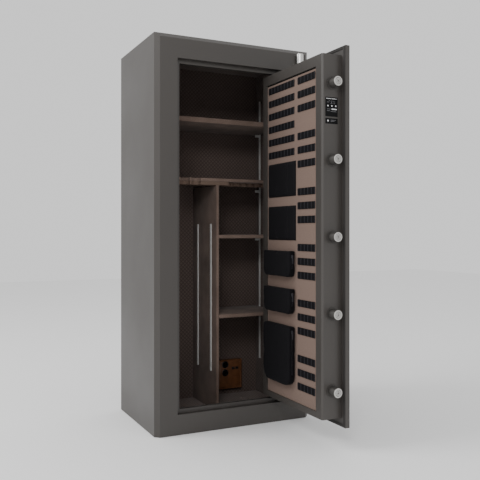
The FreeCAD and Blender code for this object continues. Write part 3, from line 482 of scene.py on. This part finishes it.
# ---------------------------------------------------------------- locking bolts
# Five turned steel bars with a dark sleeve and a bright faced end, chamfered, with
# the shallow rings that the lathe leaves. Each runs out through a pressed collar.
bolt_low, bolt_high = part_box("locking_bolts")
bolt_x = (bolt_low.x + bolt_high.x) / 2
bolt_radius = (bolt_high.x - bolt_low.x) / 2
bolt_count, round_sides = 5, 48
bolt_step = (bolt_high.z - bolt_low.z - 2 * bolt_radius) / (bolt_count - 1)
end_deep, face_deep = 0.0035, 0.0017
tail_steps = [(0.004, -0.002)]
# bright lands stand out and grooves go in, from the rim to the middle
ring_steps = [(0.0016, 0.0010), (0.0032, -0.0016), (0.0018, 0.0014),
              (0.0030, -0.0016), (0.0016, 0.0014), (0.0022, -0.0016)]
sleeves, ends = [], []
for index in range(bolt_count):
    level = bolt_low.z + bolt_radius + index * bolt_step
    sleeve = disc("sleeve", (bolt_x, (bolt_low.y + end_deep + bolt_high.y) / 2, level),
                  bolt_radius, bolt_high.y - bolt_low.y - end_deep, along_y, round_sides)
    step_face(sleeve, (0, 1, 0), tail_steps)
    sleeves.append(rounded(sleeve, 0.0006))
    face = disc("end", (bolt_x, bolt_low.y + 0.001 + end_deep / 2, level), bolt_radius,
                face_deep, along_y, round_sides)
    step_face(face, forward, ring_steps)
    ends.append(rounded(face, 0.0002, 2, 30))
sleeves = join("bolt_sleeves", sleeves)
ends = join("bolt_ends", ends)
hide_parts("locking_bolts")
# The dark finish of the sleeves and collars is also put in the grooves of the bolt ends, as
# painted shade.
sleeve_steel_and_groove_shade, shader = new_finish("dark_phosphated_steel_and_groove_shade", "#3b3936", metallic=0.35,
                                  roughness=0.5)
where = add(sleeve_steel_and_groove_shade, "TexCoord").outputs["Object"]
drawn_out = add(sleeve_steel_and_groove_shade, "Mapping", {"Vector": where, "Scale": (0.1, 1.0, 0.1)})
turned = add(sleeve_steel_and_groove_shade, "TexNoise", {"Vector": drawn_out.outputs["Vector"],
                                        "Scale": 1 / 0.0008})
wire(sleeve_steel_and_groove_shade, shader,
     base_color=two_tone(sleeve_steel_and_groove_shade, turned.outputs["Fac"], "#33312f", "#474441"))
faced = grained("faced_bright_steel", "#bdbbb7", 0.0015, ("#aeaca8", "#cbc9c5"), 3.0,
                metallic=0.55, roughness=0.4)
settle(sleeves, sleeve_steel_and_groove_shade, "boltwork")
settle(ends, faced, "boltwork")
# the recessed grooves get the dark sleeve finish as painted shade in them, and only the lands
# are faced bright
ends.data.materials.append(sleeve_steel_and_groove_shade)
painted_shade_groove_y = bolt_low.y + 0.002
for face in ends.data.polygons:
    if face.normal.y < -0.9 and face.center.y > painted_shade_groove_y:
        face.material_index = 1
give(sleeve_steel_and_groove_shade, "bolt_collars")

# ---------------------------------------------------------------- fabric panel
# Tan polyester twill stretched over a board and tucked under the casing's rim. It
# stands very slightly proud in its middle and draws down at its edge.
panel_low, panel_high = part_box("fabric_panel")
centre = (panel_low + panel_high) / 2
half_wide = (panel_high.y - panel_low.y) / 2
half_high = (panel_high.z - panel_low.z) / 2
cloth_thick, stand_off = 0.0007, 0.0004
tuck_wide, tuck_deep = 0.006, 0.0016
# the cover stops 5 mm below the top, so that the near-black board behind it shows there as a
# painted shadow line under the casing's rim
painted_shadow_gap = 0.005
clear()
bpy.ops.mesh.primitive_grid_add(x_subdivisions=36, y_subdivisions=110, size=1,
                                location=centre, rotation=(0, math.radians(-90), 0))
cover = bpy.context.object
cover.name = "panel_cover"
bpy.ops.object.transform_apply(location=True, rotation=True, scale=True)
for point in cover.data.vertices:
    share_y = (point.co.y - centre.y) * 2
    share_z = (point.co.z - centre.z) * 2
    edge = min((1 - abs(share_y)) * half_wide, (1 - abs(share_z)) * half_high)
    drop = tuck_deep * max(0.0, 1 - edge / tuck_wide) ** 2
    point.co = (panel_low.x + stand_off + drop, centre.y + share_y * half_wide,
                panel_low.z + (2 * half_high - painted_shadow_gap) * (share_z + 1) / 2)
# the thickness goes in, towards the board
inward = -1 if cover.data.polygons[0].normal.x < 0 else 1
finish_with(cover, "SOLIDIFY", thickness=cloth_thick, offset=inward)
smooth(cover, 60)
twill, shader = new_finish("tan_polyester_twill", "#766459", gloss=0.15, roughness=0.9,
                           sheen_weight=0.05, sheen_roughness=0.5)
axes = add(twill, "SeparateXYZ", {"Vector": add(twill, "TexCoord").outputs["Object"]})
plane = add(twill, "CombineXYZ", {"X": axes.outputs["Y"], "Y": axes.outputs["Z"]})
# a wave texture of scale 1 repeats every pi / 10 metres along an axis
one_band = 0.05 * 6.28
# the threads are 0.5 mm apart, drawn at 2.3 mm across the slant so that they show
warp = add(twill, "TexWave", {"Vector": plane.outputs["Vector"], "Scale": one_band / 0.0016,
                              "Distortion": 0.6, "Detail": 1.0},
           bands_direction="DIAGONAL")
slub = add(twill, "TexNoise", {"Vector": plane.outputs["Vector"], "Scale": 1 / 0.004,
                               "Detail": 4.0}, noise_dimensions="2D")
tone = add(twill, "Math", {0: warp.outputs["Fac"], 1: slub.outputs["Fac"]},
           operation="MULTIPLY")
wire(twill, shader, base_color=two_tone(twill, tone.outputs["Value"], "#685850", "#836f64"),
     normal=add(twill, "Bump", {"Height": tone.outputs["Value"], "Strength": 0.25,
                                "Distance": 0.0004}).outputs["Normal"])
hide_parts("fabric_panel")
settle(cover, twill, "door")
# The board behind the cover is near black: where it shows above the cover it is a painted
# shadow line.
board_painted_as_shadow = grained("black_hardboard_painted_shadow", "#0a0a0a", 0.001, ("#070707", "#131312"), 3.0,
                    gloss=0.2, roughness=0.8)
give(board_painted_as_shadow, "inner_board")

# ---------------------------------------------------------------- webbing
# Rows of 25 mm black nylon webbing, bar-tacked to the cover about every 25 mm, so
# that each span between two tacks stands off as a loop.
nylon, shader = new_finish("black_nylon_webbing", "#0c0b0d", gloss=0.12, roughness=0.75,
                           sheen_weight=0.02, sheen_roughness=0.4)
axes = add(nylon, "SeparateXYZ", {"Vector": add(nylon, "TexCoord").outputs["Object"]})
plane = add(nylon, "CombineXYZ", {"X": axes.outputs["Y"], "Y": axes.outputs["Z"]})
# the ribs are 1.3 mm apart, drawn at 2.2 mm so that they show
ribs = add(nylon, "TexWave", {"Vector": plane.outputs["Vector"], "Scale": one_band / 0.0022,
                              "Distortion": 0.3}, bands_direction="Y")
knots = add(nylon, "TexNoise", {"Vector": plane.outputs["Vector"], "Scale": 1 / 0.0015,
                                "Detail": 2.0}, noise_dimensions="2D")
tone = add(nylon, "Math", {0: ribs.outputs["Fac"], 1: knots.outputs["Fac"]},
           operation="MULTIPLY")
wire(nylon, shader, base_color=two_tone(nylon, tone.outputs["Value"], "#08070a", "#131215"),
     normal=add(nylon, "Bump", {"Height": tone.outputs["Value"], "Strength": 0.4,
                                "Distance": 0.0005}).outputs["Normal"])
thread = grained("charcoal_polyester_thread", "#232225", 0.0008, ("#2b2a2e", "#3b3a3f"),
                 gloss=0.2, roughness=0.6)


def webbing(node, name, loops, row_height=0.026):
    """Every row of one column: the first row is modelled, the others are copies."""
    low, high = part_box(node)
    levels = sorted({round(v.co.z, 5) for v in nodes[node].data.vertices})[::2]
    slack, narrowing, parts_per_loop = 0.0006, 0.02, 6
    strap = block(name, (low.x + slack, low.y, levels[0]),
                  (high.x - 0.0001, high.y, levels[0] + row_height))
    pick(strap, "EDGE",
         lambda edge: abs((edge.verts[0].co - edge.verts[1].co).normalized().y) > 0.9)
    bpy.ops.mesh.subdivide(number_cuts=loops * parts_per_loop - 1)
    bpy.ops.object.mode_set(mode="OBJECT")
    span = (high.y - low.y) / loops
    middle = levels[0] + row_height / 2
    for point in strap.data.vertices:
        phase = ((point.co.y - low.y) / span) % 1
        lift = math.sin(math.pi * phase) ** 0.6 if 0.01 < phase < 0.99 else 0
        if point.co.x < high.x - 0.0005:
            point.co.x += slack * (1 - 2 * lift) + 0.0004
        point.co.z = middle + (point.co.z - middle) * (1 - narrowing * (1 - lift))
    rounded(strap, 0.0004, 1)
    tack_wide, tack_margin = 0.0018, 0.002
    tacks = []
    for index in range(loops + 1):
        y = min(max(low.y + index * span, low.y + tack_wide), high.y - tack_wide)
        tack = block("tack", (low.x + 0.0002, y - tack_wide / 2, levels[0] + tack_margin),
                     (low.x + 0.0018, y + tack_wide / 2, levels[0] + row_height - tack_margin))
        step_face(tack, (-1, 0, 0), [(0.0004, 0.0002)])
        tacks.append(tack)
    tacks = join(f"{name}_tacks", tacks)
    rows = []
    for piece in (strap, tacks):
        copies = [piece]
        for level in levels[1:]:
            twin = piece.copy()
            twin.data = piece.data.copy()
            twin.data.transform(Matrix.Translation((0, 0, level - levels[0])))
            bpy.context.scene.collection.objects.link(twin)
            copies.append(twin)
        rows.append(join(piece.name, copies))
    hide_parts(node)
    settle(rows[0], nylon, "door")
    settle(rows[1], thread, "door")


webbing("webbing_left", "webbing_straps_left", 8)
webbing("webbing_right", "webbing_straps_right", 5)

# ---------------------------------------------------------------- holster panels
# Two flat double-walled sleeves of black pack cloth, bound at the edge and sewn down
# in upright channels, so that a handgun slides in behind each.
packcloth, shader = new_finish("black_pack_cloth", "#0b0a0d", gloss=0.12, roughness=0.8,
                               sheen_weight=0.02, sheen_roughness=0.4)
axes = add(packcloth, "SeparateXYZ", {"Vector": add(packcloth, "TexCoord").outputs["Object"]})
plane = add(packcloth, "CombineXYZ", {"X": axes.outputs["Y"], "Y": axes.outputs["Z"]})
# the basket weave is 0.7 mm, drawn at 2 mm so that it shows
weave = add(packcloth, "TexVoronoi", {"Vector": plane.outputs["Vector"], "Scale": 1 / 0.002,
                                      "Randomness": 0.15}, voronoi_dimensions="2D",
            distance="CHEBYCHEV")
cloud = add(packcloth, "TexNoise", {"Vector": plane.outputs["Vector"], "Scale": 1 / 0.04,
                                    "Detail": 3.0}, noise_dimensions="2D")
tone = add(packcloth, "Math", {0: weave.outputs["Distance"], 1: cloud.outputs["Fac"]},
           operation="MULTIPLY")
wire(packcloth, shader,
     base_color=two_tone(packcloth, tone.outputs["Value"], "#0e0d10", "#070608"),
     normal=add(packcloth, "Bump", {"Height": weave.outputs["Distance"], "Strength": 0.3,
                                    "Distance": 0.0004}).outputs["Normal"])


def panel_grid(name, low, high, across, up, shape):
    """A closed sleeve whose front follows shape(y share, z share) from 0 to 1."""
    clear()
    bpy.ops.mesh.primitive_grid_add(x_subdivisions=up, y_subdivisions=across, size=1,
                                    rotation=(0, math.radians(-90), 0))
    piece = bpy.context.object
    piece.name = name
    bpy.ops.object.transform_apply(location=True, rotation=True, scale=True)
    pick(piece, "FACE", lambda face: True)
    bpy.ops.mesh.extrude_region_move(TRANSFORM_OT_translate={"value": (-1, 0, 0)})
    bpy.ops.mesh.select_all(action="SELECT")
    bpy.ops.mesh.normals_make_consistent(inside=False)
    bpy.ops.object.mode_set(mode="OBJECT")
    for point in piece.data.vertices:
        y, z = point.co.y + 0.5, point.co.z + 0.5
        proud = (high.x - low.x) * shape(y, z) if point.co.x < -0.5 else 0.0
        point.co = (high.x - 0.0002 - proud, low.y + (high.y - low.y) * y,
                    low.z + (high.z - low.z) * z)
    smooth(piece, 60)
    return piece


def stitches(name, runs, length=0.0042, gap=0.0022, wide=0.0009):
    """Short raised stitches along straight runs on a face that looks to -X."""
    made = []
    for start, end in runs:
        start, end = Vector(start), Vector(end)
        way = (end - start).normalized()
        side = way.cross(Vector((1, 0, 0))) * wide / 2
        for index in range(int((end - start).length // (length + gap))):
            first = start + way * index * (length + gap)
            made.append((first, first + way * length, side))
    shape = bmesh.new()
    for first, last, side in made:
        lift = Vector((-0.0005, 0, 0))
        sink = Vector((0.0006, 0, 0))
        top = [shape.verts.new(p + lift) for p in
               (first + side * 0.6, first - side * 0.6, last - side * 0.6, last + side * 0.6)]
        foot = [shape.verts.new(p + sink) for p in
                (first + side, first - side, last - side, last + side)]
        shape.faces.new(top)
        shape.faces.new(foot[::-1])
        for index in range(4):
            after = (index + 1) % 4
            shape.faces.new((top[index], foot[index], foot[after], top[after]))
    bmesh.ops.recalc_face_normals(shape, faces=shape.faces)
    mesh = bpy.data.meshes.new(name)
    shape.to_mesh(mesh)
    shape.free()
    piece = bpy.data.objects.new(name, mesh)
    bpy.context.scene.collection.objects.link(piece)
    return piece


low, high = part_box("holster_panels")
levels = sorted({round(v.co.z, 4) for v in nodes["holster_panels"].data.vertices})
holster_rows = [(levels[0], levels[1]), (levels[-2], levels[-1])]
full_seam, short_seam, short_top = 0.28, 0.67, 0.3


def channelled(y, z):
    """How far the sleeve stands out: full between seams, drawn in at them."""
    edge = min(y, 1 - y) * 16 if min(y, 1 - y) < 1 / 16 else 1
    foot = min(z, 1 - z) * 12 if min(z, 1 - z) < 1 / 12 else 1
    seam = 1 - 0.75 * math.exp(-((y - full_seam) / 0.014) ** 2)
    if z < short_top:
        seam = min(seam, 1 - 0.6 * math.exp(-((y - short_seam) / 0.014) ** 2))
    wide = y / full_seam if y < full_seam else (y - full_seam) / (1 - full_seam)
    belly = 0.84 + 0.16 * math.sin(math.pi * wide) * math.sin(math.pi * z) ** 0.5
    return 0.12 + 0.86 * belly * seam * (edge ** 0.5) * (foot ** 0.5)


holsters, runs = [], []
depth = high.x - low.x
for level_low, level_high in holster_rows:
    holsters.append(panel_grid("holster", Vector((low.x, low.y, level_low)),
                               Vector((high.x, high.y, level_high)), 96, 24, channelled))
    for share, top in ((full_seam, 1.0), (short_seam, short_top)):
        y = low.y + (high.y - low.y) * share
        x = high.x - 0.0002 - depth * channelled(share, 0.2)
        reach = level_low + (level_high - level_low) * top
        runs.append(((x, y, level_low + 0.008), (x, y, reach - 0.006)))
holsters = join("holster_sleeves", holsters)
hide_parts("holster_panels")
settle(holsters, packcloth, "door")
grey_thread = grained("grey_polyester_thread", "#5c5b60", 0.0008, ("#545358", "#6e6d73"),
                      gloss=0.2, roughness=0.6)
settle(stitches("holster_stitching", runs), grey_thread, "door")

# ---------------------------------------------------------------- pouches
# Three soft bags of the same pack cloth with rounded lower corners. Each has bound
# edges, a zip across its face with a pull tab, and a little slack in its front.


def pouch(node, name, corner, fill):
    """A bag puffed up by a cloth simulation from a slightly smaller, flat start."""
    low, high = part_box(node)
    front_room, edge_room, frames = 0.0025, 0.0006, 20
    start = block(name, (low.x + front_room, low.y + edge_room, low.z + edge_room),
                  (high.x - 0.0004, high.y - edge_room, high.z - edge_room))
    pick(start, "EDGE", lambda edge: all(v.co.z < low.z + 0.01 for v in edge.verts)
         and abs(edge.verts[0].co.x - edge.verts[1].co.x) > 0.005)
    bpy.ops.mesh.bevel(offset=corner, segments=8, affect="EDGES")
    bpy.ops.object.mode_set(mode="OBJECT")
    finish_with(start, "REMESH", mode="VOXEL", voxel_size=0.004)
    before = [point.co.copy() for point in start.data.vertices]
    hold(start)
    cloth = start.modifiers.new("Cloth", "CLOTH")
    cloth.settings.use_pressure = True
    cloth.settings.uniform_pressure_force = 4.0
    cloth.settings.effector_weights.gravity = 0.0
    scene = bpy.context.scene
    for count in range(1, frames + 1):
        scene.frame_set(count)
    bpy.ops.object.modifier_apply(modifier=cloth.name)
    scene.frame_set(1)
    front_cap, edge_cap = 0.0035, 0.0016
    for point, rest in zip(start.data.vertices, before):
        moved = point.co - rest
        point.co = rest + Vector((max(-front_cap, min(front_cap, moved.x)),
                                  max(-edge_cap, min(edge_cap, moved.y)),
                                  max(-edge_cap, min(edge_cap, moved.z))))
        point.co.x = min(point.co.x, high.x - 0.0002)
        share_z = (point.co.z - low.z) / (high.z - low.z)
        share_y = (point.co.y - low.y) / (high.y - low.y)
        front = max(0.0, (high.x - point.co.x) / (high.x - low.x) - 0.5) * 2
        slack = math.sin(share_y * 9 + share_z * 4) * math.sin(share_z * 7 + 1)
        point.co.x += 0.0012 * slack * front * (1 - fill)
    finish_with(start, "SUBSURF", levels=1, render_levels=1)
    smooth(start, 80)
    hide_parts(node)
    settle(start, packcloth, "door")
    return start, low, high


def side_of(bag, x, z):
    """The y of a bag's outer side at a place, where its zip runs."""
    hit, place = bag.ray_cast(Vector((x, -2.0, z)), Vector((0, 1, 0)))[:2]
    return place.y if hit else bag.bound_box[0][1] + 0.004


# A coil zip: a row of small teeth on a woven tape, with a slider and a pull.
gunmetal = grained("gunmetal_zip", "#48484c", 0.001, ("#3c3c40", "#5e5e64"), metallic=0.8,
                   roughness=0.35)


def side_zip(bag, name, low, high, foot):
    """A zip down the middle of a bag's outer side, with its slider near the top."""
    middle = (low.x + high.x) / 2
    top, bottom = high.z - 0.012, low.z + foot
    proud, tape_half_wide, tape_thick, count = 0.0004, 0.004, 0.0014, 24
    tape = bmesh.new()
    rows = []
    for index in range(count + 1):
        z = bottom + (top - bottom) * index / count
        ring = []
        for x in (middle - tape_half_wide, middle + tape_half_wide):
            y = side_of(bag, x, z) - proud
            ring += [tape.verts.new((x, y, z)), tape.verts.new((x, y + tape_thick, z))]
        rows.append(ring)
    for first, after in zip(rows, rows[1:]):
        for a, b in ((0, 2), (2, 3), (3, 1), (1, 0)):
            tape.faces.new((first[a], first[b], after[b], after[a]))
    for ring in (rows[0], rows[-1]):
        tape.faces.new((ring[0], ring[1], ring[3], ring[2]))
    bmesh.ops.recalc_face_normals(tape, faces=tape.faces)
    mesh = bpy.data.meshes.new(name)
    tape.to_mesh(mesh)
    tape.free()
    band = bpy.data.objects.new(name, mesh)
    bpy.context.scene.collection.objects.link(band)
    settle(band, nylon, "door")
    tooth_pitch = 0.0034
    first = block("tooth", (-0.0015, -0.0011, -0.0008), (0.0015, 0.0004, 0.0008))
    step_face(first, forward, [(0.0003, 0.0002)])
    teeth = []
    for index in range(int((top - bottom) / tooth_pitch)):
        z = bottom + 0.002 + index * tooth_pitch
        tooth = first.copy()
        tooth.data = first.data.copy()
        tooth.data.transform(Matrix.Translation((middle, side_of(bag, middle, z) - proud, z)))
        bpy.context.scene.collection.objects.link(tooth)
        teeth.append(tooth)
    bpy.data.objects.remove(first)
    # a slider 11 mm long, with a flat tab 25 mm long hanging in front of it
    level = top - 0.010
    y = side_of(bag, middle, level) - proud
    slider_half_wide, slider_half_long, tab_half_wide = 0.0034, 0.0055, 0.0024
    slider = block("slider", (middle - slider_half_wide, y - 0.0030, level - slider_half_long),
                   (middle + slider_half_wide, y, level + slider_half_long))
    step_face(slider, forward, [(0.0012, 0.0006)])
    teeth.append(rounded(slider, 0.0006))
    tab = block("tab", (middle - tab_half_wide, y - 0.0042, level - 0.026),
                (middle + tab_half_wide, y - 0.0028, level - 0.001))
    step_face(tab, forward, [(0.0008, -0.0003)])
    teeth.append(rounded(tab, 0.0004))
    settle(join(f"{name}_teeth", teeth), gunmetal, "door")


for node, corner, fill in (("pouch_upper", 0.024, 0.5), ("pouch_middle", 0.024, 0.5),
                           ("pouch_lower", 0.036, 0.45)):
    bag, low, high = pouch(node, f"{node}_bag", corner, fill)
    side_zip(bag, f"{node}_zip", low, high, corner + 0.008)

# ---------------------------------------------------------------- rating labels
# Two black film labels on the casing's edge, printed in white with plain bars, dots
# and small marks. The printing is a thin layer of ink.
film = grained("black_polyester_film", "#060607", 0.004, detail=3.0,
               polish=(0.0, 1.0, 0.4, 0.6), gloss=0.15, roughness=0.5)
give(film, "rating_labels")
ink = grained("white_screen_ink", "#dedede", 0.0008, ("#cfcfcf", "#ececec"), roughness=0.6)
grey_ink = grained("grey_screen_ink", "#7d7d80", 0.0008, ("#6b6b6e", "#8d8d90"), roughness=0.6)
label_low, label_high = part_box("rating_labels")
label_wide = label_high.x - label_low.x
ink_y, ink_foot, ink_round = label_low.y - 0.00015, label_low.y + 0.0003, 0.0001


def marks(name, finish, bars, rounds):
    """Printed bars and dots; places are shares of the label's width and mm of height."""
    made = []
    for left, right, low_z, high_z in bars:
        bar = block("bar", (label_low.x + label_wide * left, ink_y, label_low.z + low_z / 1000),
                    (label_low.x + label_wide * right, ink_foot, label_low.z + high_z / 1000))
        made.append(rounded(bar, ink_round, 1))
    for across, up, radius in rounds:
        dot = disc("dot", (label_low.x + label_wide * across, label_low.y + 0.0001,
                           label_low.z + up / 1000), radius / 1000, 0.0005, along_y, 24)
        made.append(rounded(dot, ink_round, 1))
    settle(join(name, made), finish, "door")


marks("label_marks_white", ink,
      [(0.06, 0.50, 86, 87.6), (0.54, 0.94, 86, 87.6), (0.50, 0.92, 49, 52.5)],
      [(0.20, 62, 2.6), (0.52, 62, 2.6), (0.84, 62, 2.6), (0.20, 10, 3.0)])
marks("label_marks_grey", grey_ink,
      [(0.42, 0.58, 78, 79), (0.62, 0.80, 76, 77), (0.12, 0.30, 74, 75), (0.40, 0.56, 70, 71),
       (0.66, 0.78, 70, 71), (0.12, 0.42, 50, 51), (0.12, 0.36, 44, 45), (0.42, 0.90, 42, 43),
       (0.42, 0.86, 12, 13), (0.42, 0.74, 8, 9)], [(0.30, 79, 1.2), (0.50, 74, 1.2)])

# ---------------------------------------------------------------- handle
# A three-spoke handle turned from steel and chromed: hub, round spokes and balls.
# Chrome is a thin mirror plate over polished steel with a few hairline marks.
chrome = grained("bright_chrome_plate", "#d9dadc", 0.003, detail=5.0,
                 polish=(0.35, 0.7, 0.07, 0.2), metallic=1.0, roughness=0.12)
give(chrome, "handle_hub", "handle_spokes", "handle_knobs", "dial_ring")
hub_low, hub_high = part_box("handle_hub")
hub_y = (hub_low.y + hub_high.y) / 2
hub_z = (hub_low.z + hub_high.z) / 2
outward = (1, 0, 0)
along_x = (0, math.radians(90), 0)
dome_radius, dome_tall = 0.0125, 0.0018
dome_steps = [(0.0015, 0.0012), (0.003, 0.0004), (0.004, -0.0008)]
cap = disc("hub_cap", (hub_high.x + 0.0006, hub_y, hub_z), dome_radius, dome_tall, along_x)
step_face(cap, outward, dome_steps)
rounded(cap, 0.0003, 2, 30)
settle(cap, chrome, "handle")

# ---------------------------------------------------------------- combination dial
# A black dial with a hundred white divisions and a knurled grip, which turns inside
# a chromed ring with one index mark.
dial_low, dial_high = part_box("dial")
dial_y = (dial_low.y + dial_high.y) / 2
dial_z = (dial_low.z + dial_high.z) / 2
dial_radius = (dial_high.z - dial_low.z) / 2
grip_tall, grip_radius, grip_sides, groove_share = 0.018, 0.019, 72, 0.955
divisions = 100
wheel_steps = [(0.0015, 0.0), (0.010, 0.0), (0.002, 0.0012), (0.003, 0.0)]
grip_steps = [(0.0022, 0.0), (0.002, -0.0012), (0.006, 0.0)]
face_x = dial_high.x - grip_tall
wheel = disc("dial_wheel", ((dial_low.x + face_x) / 2, dial_y, dial_z), dial_radius,
             face_x - dial_low.x, along_x, divisions)
step_face(wheel, outward, wheel_steps)
rounded(wheel, 0.0008, 2, 40)
grip = disc("dial_grip", ((face_x + dial_high.x) / 2, dial_y, dial_z), grip_radius,
            dial_high.x - face_x, along_x, grip_sides)
# every second corner goes in, which makes the knurl
for point in grip.data.vertices:
    angle = math.atan2(point.co.z - dial_z, point.co.y - dial_y)
    if round(angle / (2 * math.pi) * grip_sides) % 2:
        point.co.y = dial_y + (point.co.y - dial_y) * groove_share
        point.co.z = dial_z + (point.co.z - dial_z) * groove_share
step_face(grip, outward, grip_steps)
rounded(grip, 0.0004, 1, 40)
wheel = join("dial_and_grip", [wheel, grip])
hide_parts("dial")
settle(wheel, abs_black, "dial")
tick_top, tick_half_wide, tick_half_thick = dial_z + dial_radius - 0.0018, 0.0003, 0.0002
number_radius = dial_radius - 0.0110
ticks = []
for index in range(divisions):
    angle = 2 * math.pi * index / divisions
    long = 0.0055 if index % 10 == 0 else 0.0036 if index % 5 == 0 else 0.0024
    tick = block("tick", (face_x - tick_half_thick, dial_y - tick_half_wide, tick_top - long),
                 (face_x + tick_half_thick, dial_y + tick_half_wide, tick_top))
    turn = Matrix.Translation((0, dial_y, dial_z)) @ Matrix.Rotation(angle, 4, "X") \
        @ Matrix.Translation((0, -dial_y, -dial_z))
    tick.data.transform(turn)
    ticks.append(tick)
for index in range(10):
    clear()
    bpy.ops.object.text_add(location=(0, 0, 0))
    number = bpy.context.object
    number.data.body = str(index * 10)
    number.data.size = 0.006
    number.data.extrude = 0.0001
    number.data.resolution_u = 2
    number.data.align_x = "CENTER"
    number.data.align_y = "CENTER"
    bpy.ops.object.convert(target="MESH")
    number = bpy.context.object
    angle = 2 * math.pi * index / 10
    # text lies in XY: first stood up facing +X with its top to +Z, then turned in place
    stand = Matrix(((0, 0, 1, 0), (1, 0, 0, 0), (0, 1, 0, 0), (0, 0, 0, 1)))
    number.data.transform(Matrix.Translation((face_x + 0.0001, dial_y, dial_z))
                          @ Matrix.Rotation(angle, 4, "X")
                          @ Matrix.Translation((0, 0, number_radius)) @ stand)
    ticks.append(number)
ticks = join("dial_divisions", ticks)
settle(ticks, ink, "dial")
ring_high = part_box("dial_ring")[1]
# the index mark is a wedge that points in at the dial
tip_z, mark_half_wide, mark_long = dial_z + 0.0405, 0.0011, 0.007
index_mark = block("dial_index", (ring_high.x - 0.0002, dial_y - mark_half_wide, tip_z),
                   (ring_high.x + 0.0004, dial_y + mark_half_wide, tip_z + mark_long))
pick(index_mark, "VERT", lambda corner: corner.co.z < tip_z + mark_long / 2)
bpy.ops.transform.resize(value=(1, 0.2, 1), center_override=(ring_high.x, dial_y, tip_z))
bpy.ops.object.mode_set(mode="OBJECT")
rounded(index_mark, 0.0001, 1)
settle(index_mark, film, "door")

# ---------------------------------------------------------------- studio
# A pale seamless floor and soft light: a large panel high on the left, a small one
# raised in front, and an even white surround.
clear()
bpy.ops.mesh.primitive_plane_add(size=16, location=(0, 0, -0.0008))
floor = bpy.context.object
floor.name = "floor"
paper = grained("matte_white_paper", "#f4f4f4", 0.004, ("#f2f2f2", "#f7f7f7"), roughness=0.9)
give(paper, "floor")


def lamp(name, place, target, wide, high, watts):
    """A soft rectangular panel that looks at a point."""
    light = bpy.data.lights.new(name, "AREA")
    light.shape = "RECTANGLE"
    light.size, light.size_y = wide, high
    light.energy = watts
    stand = bpy.data.objects.new(name, light)
    bpy.context.scene.collection.objects.link(stand)
    stand.location = place
    stand.rotation_euler = (Vector(target) - Vector(place)).to_track_quat("-Z", "Y").to_euler()


lamp("key", (-3.4, 0.5, 3.6), (0, 0, 1.3), 2.2, 2.2, 100)
lamp("front", (-1.7, -3.2, 2.3), (0.0, 0, 0.4), 1.0, 0.8, 36)
world = bpy.data.worlds.new("studio")
bpy.context.scene.world = world
world.use_nodes = True
world.node_tree.nodes["Background"].inputs["Color"].default_value = (1, 1, 1, 1)
world.node_tree.nodes["Background"].inputs["Strength"].default_value = 1.0
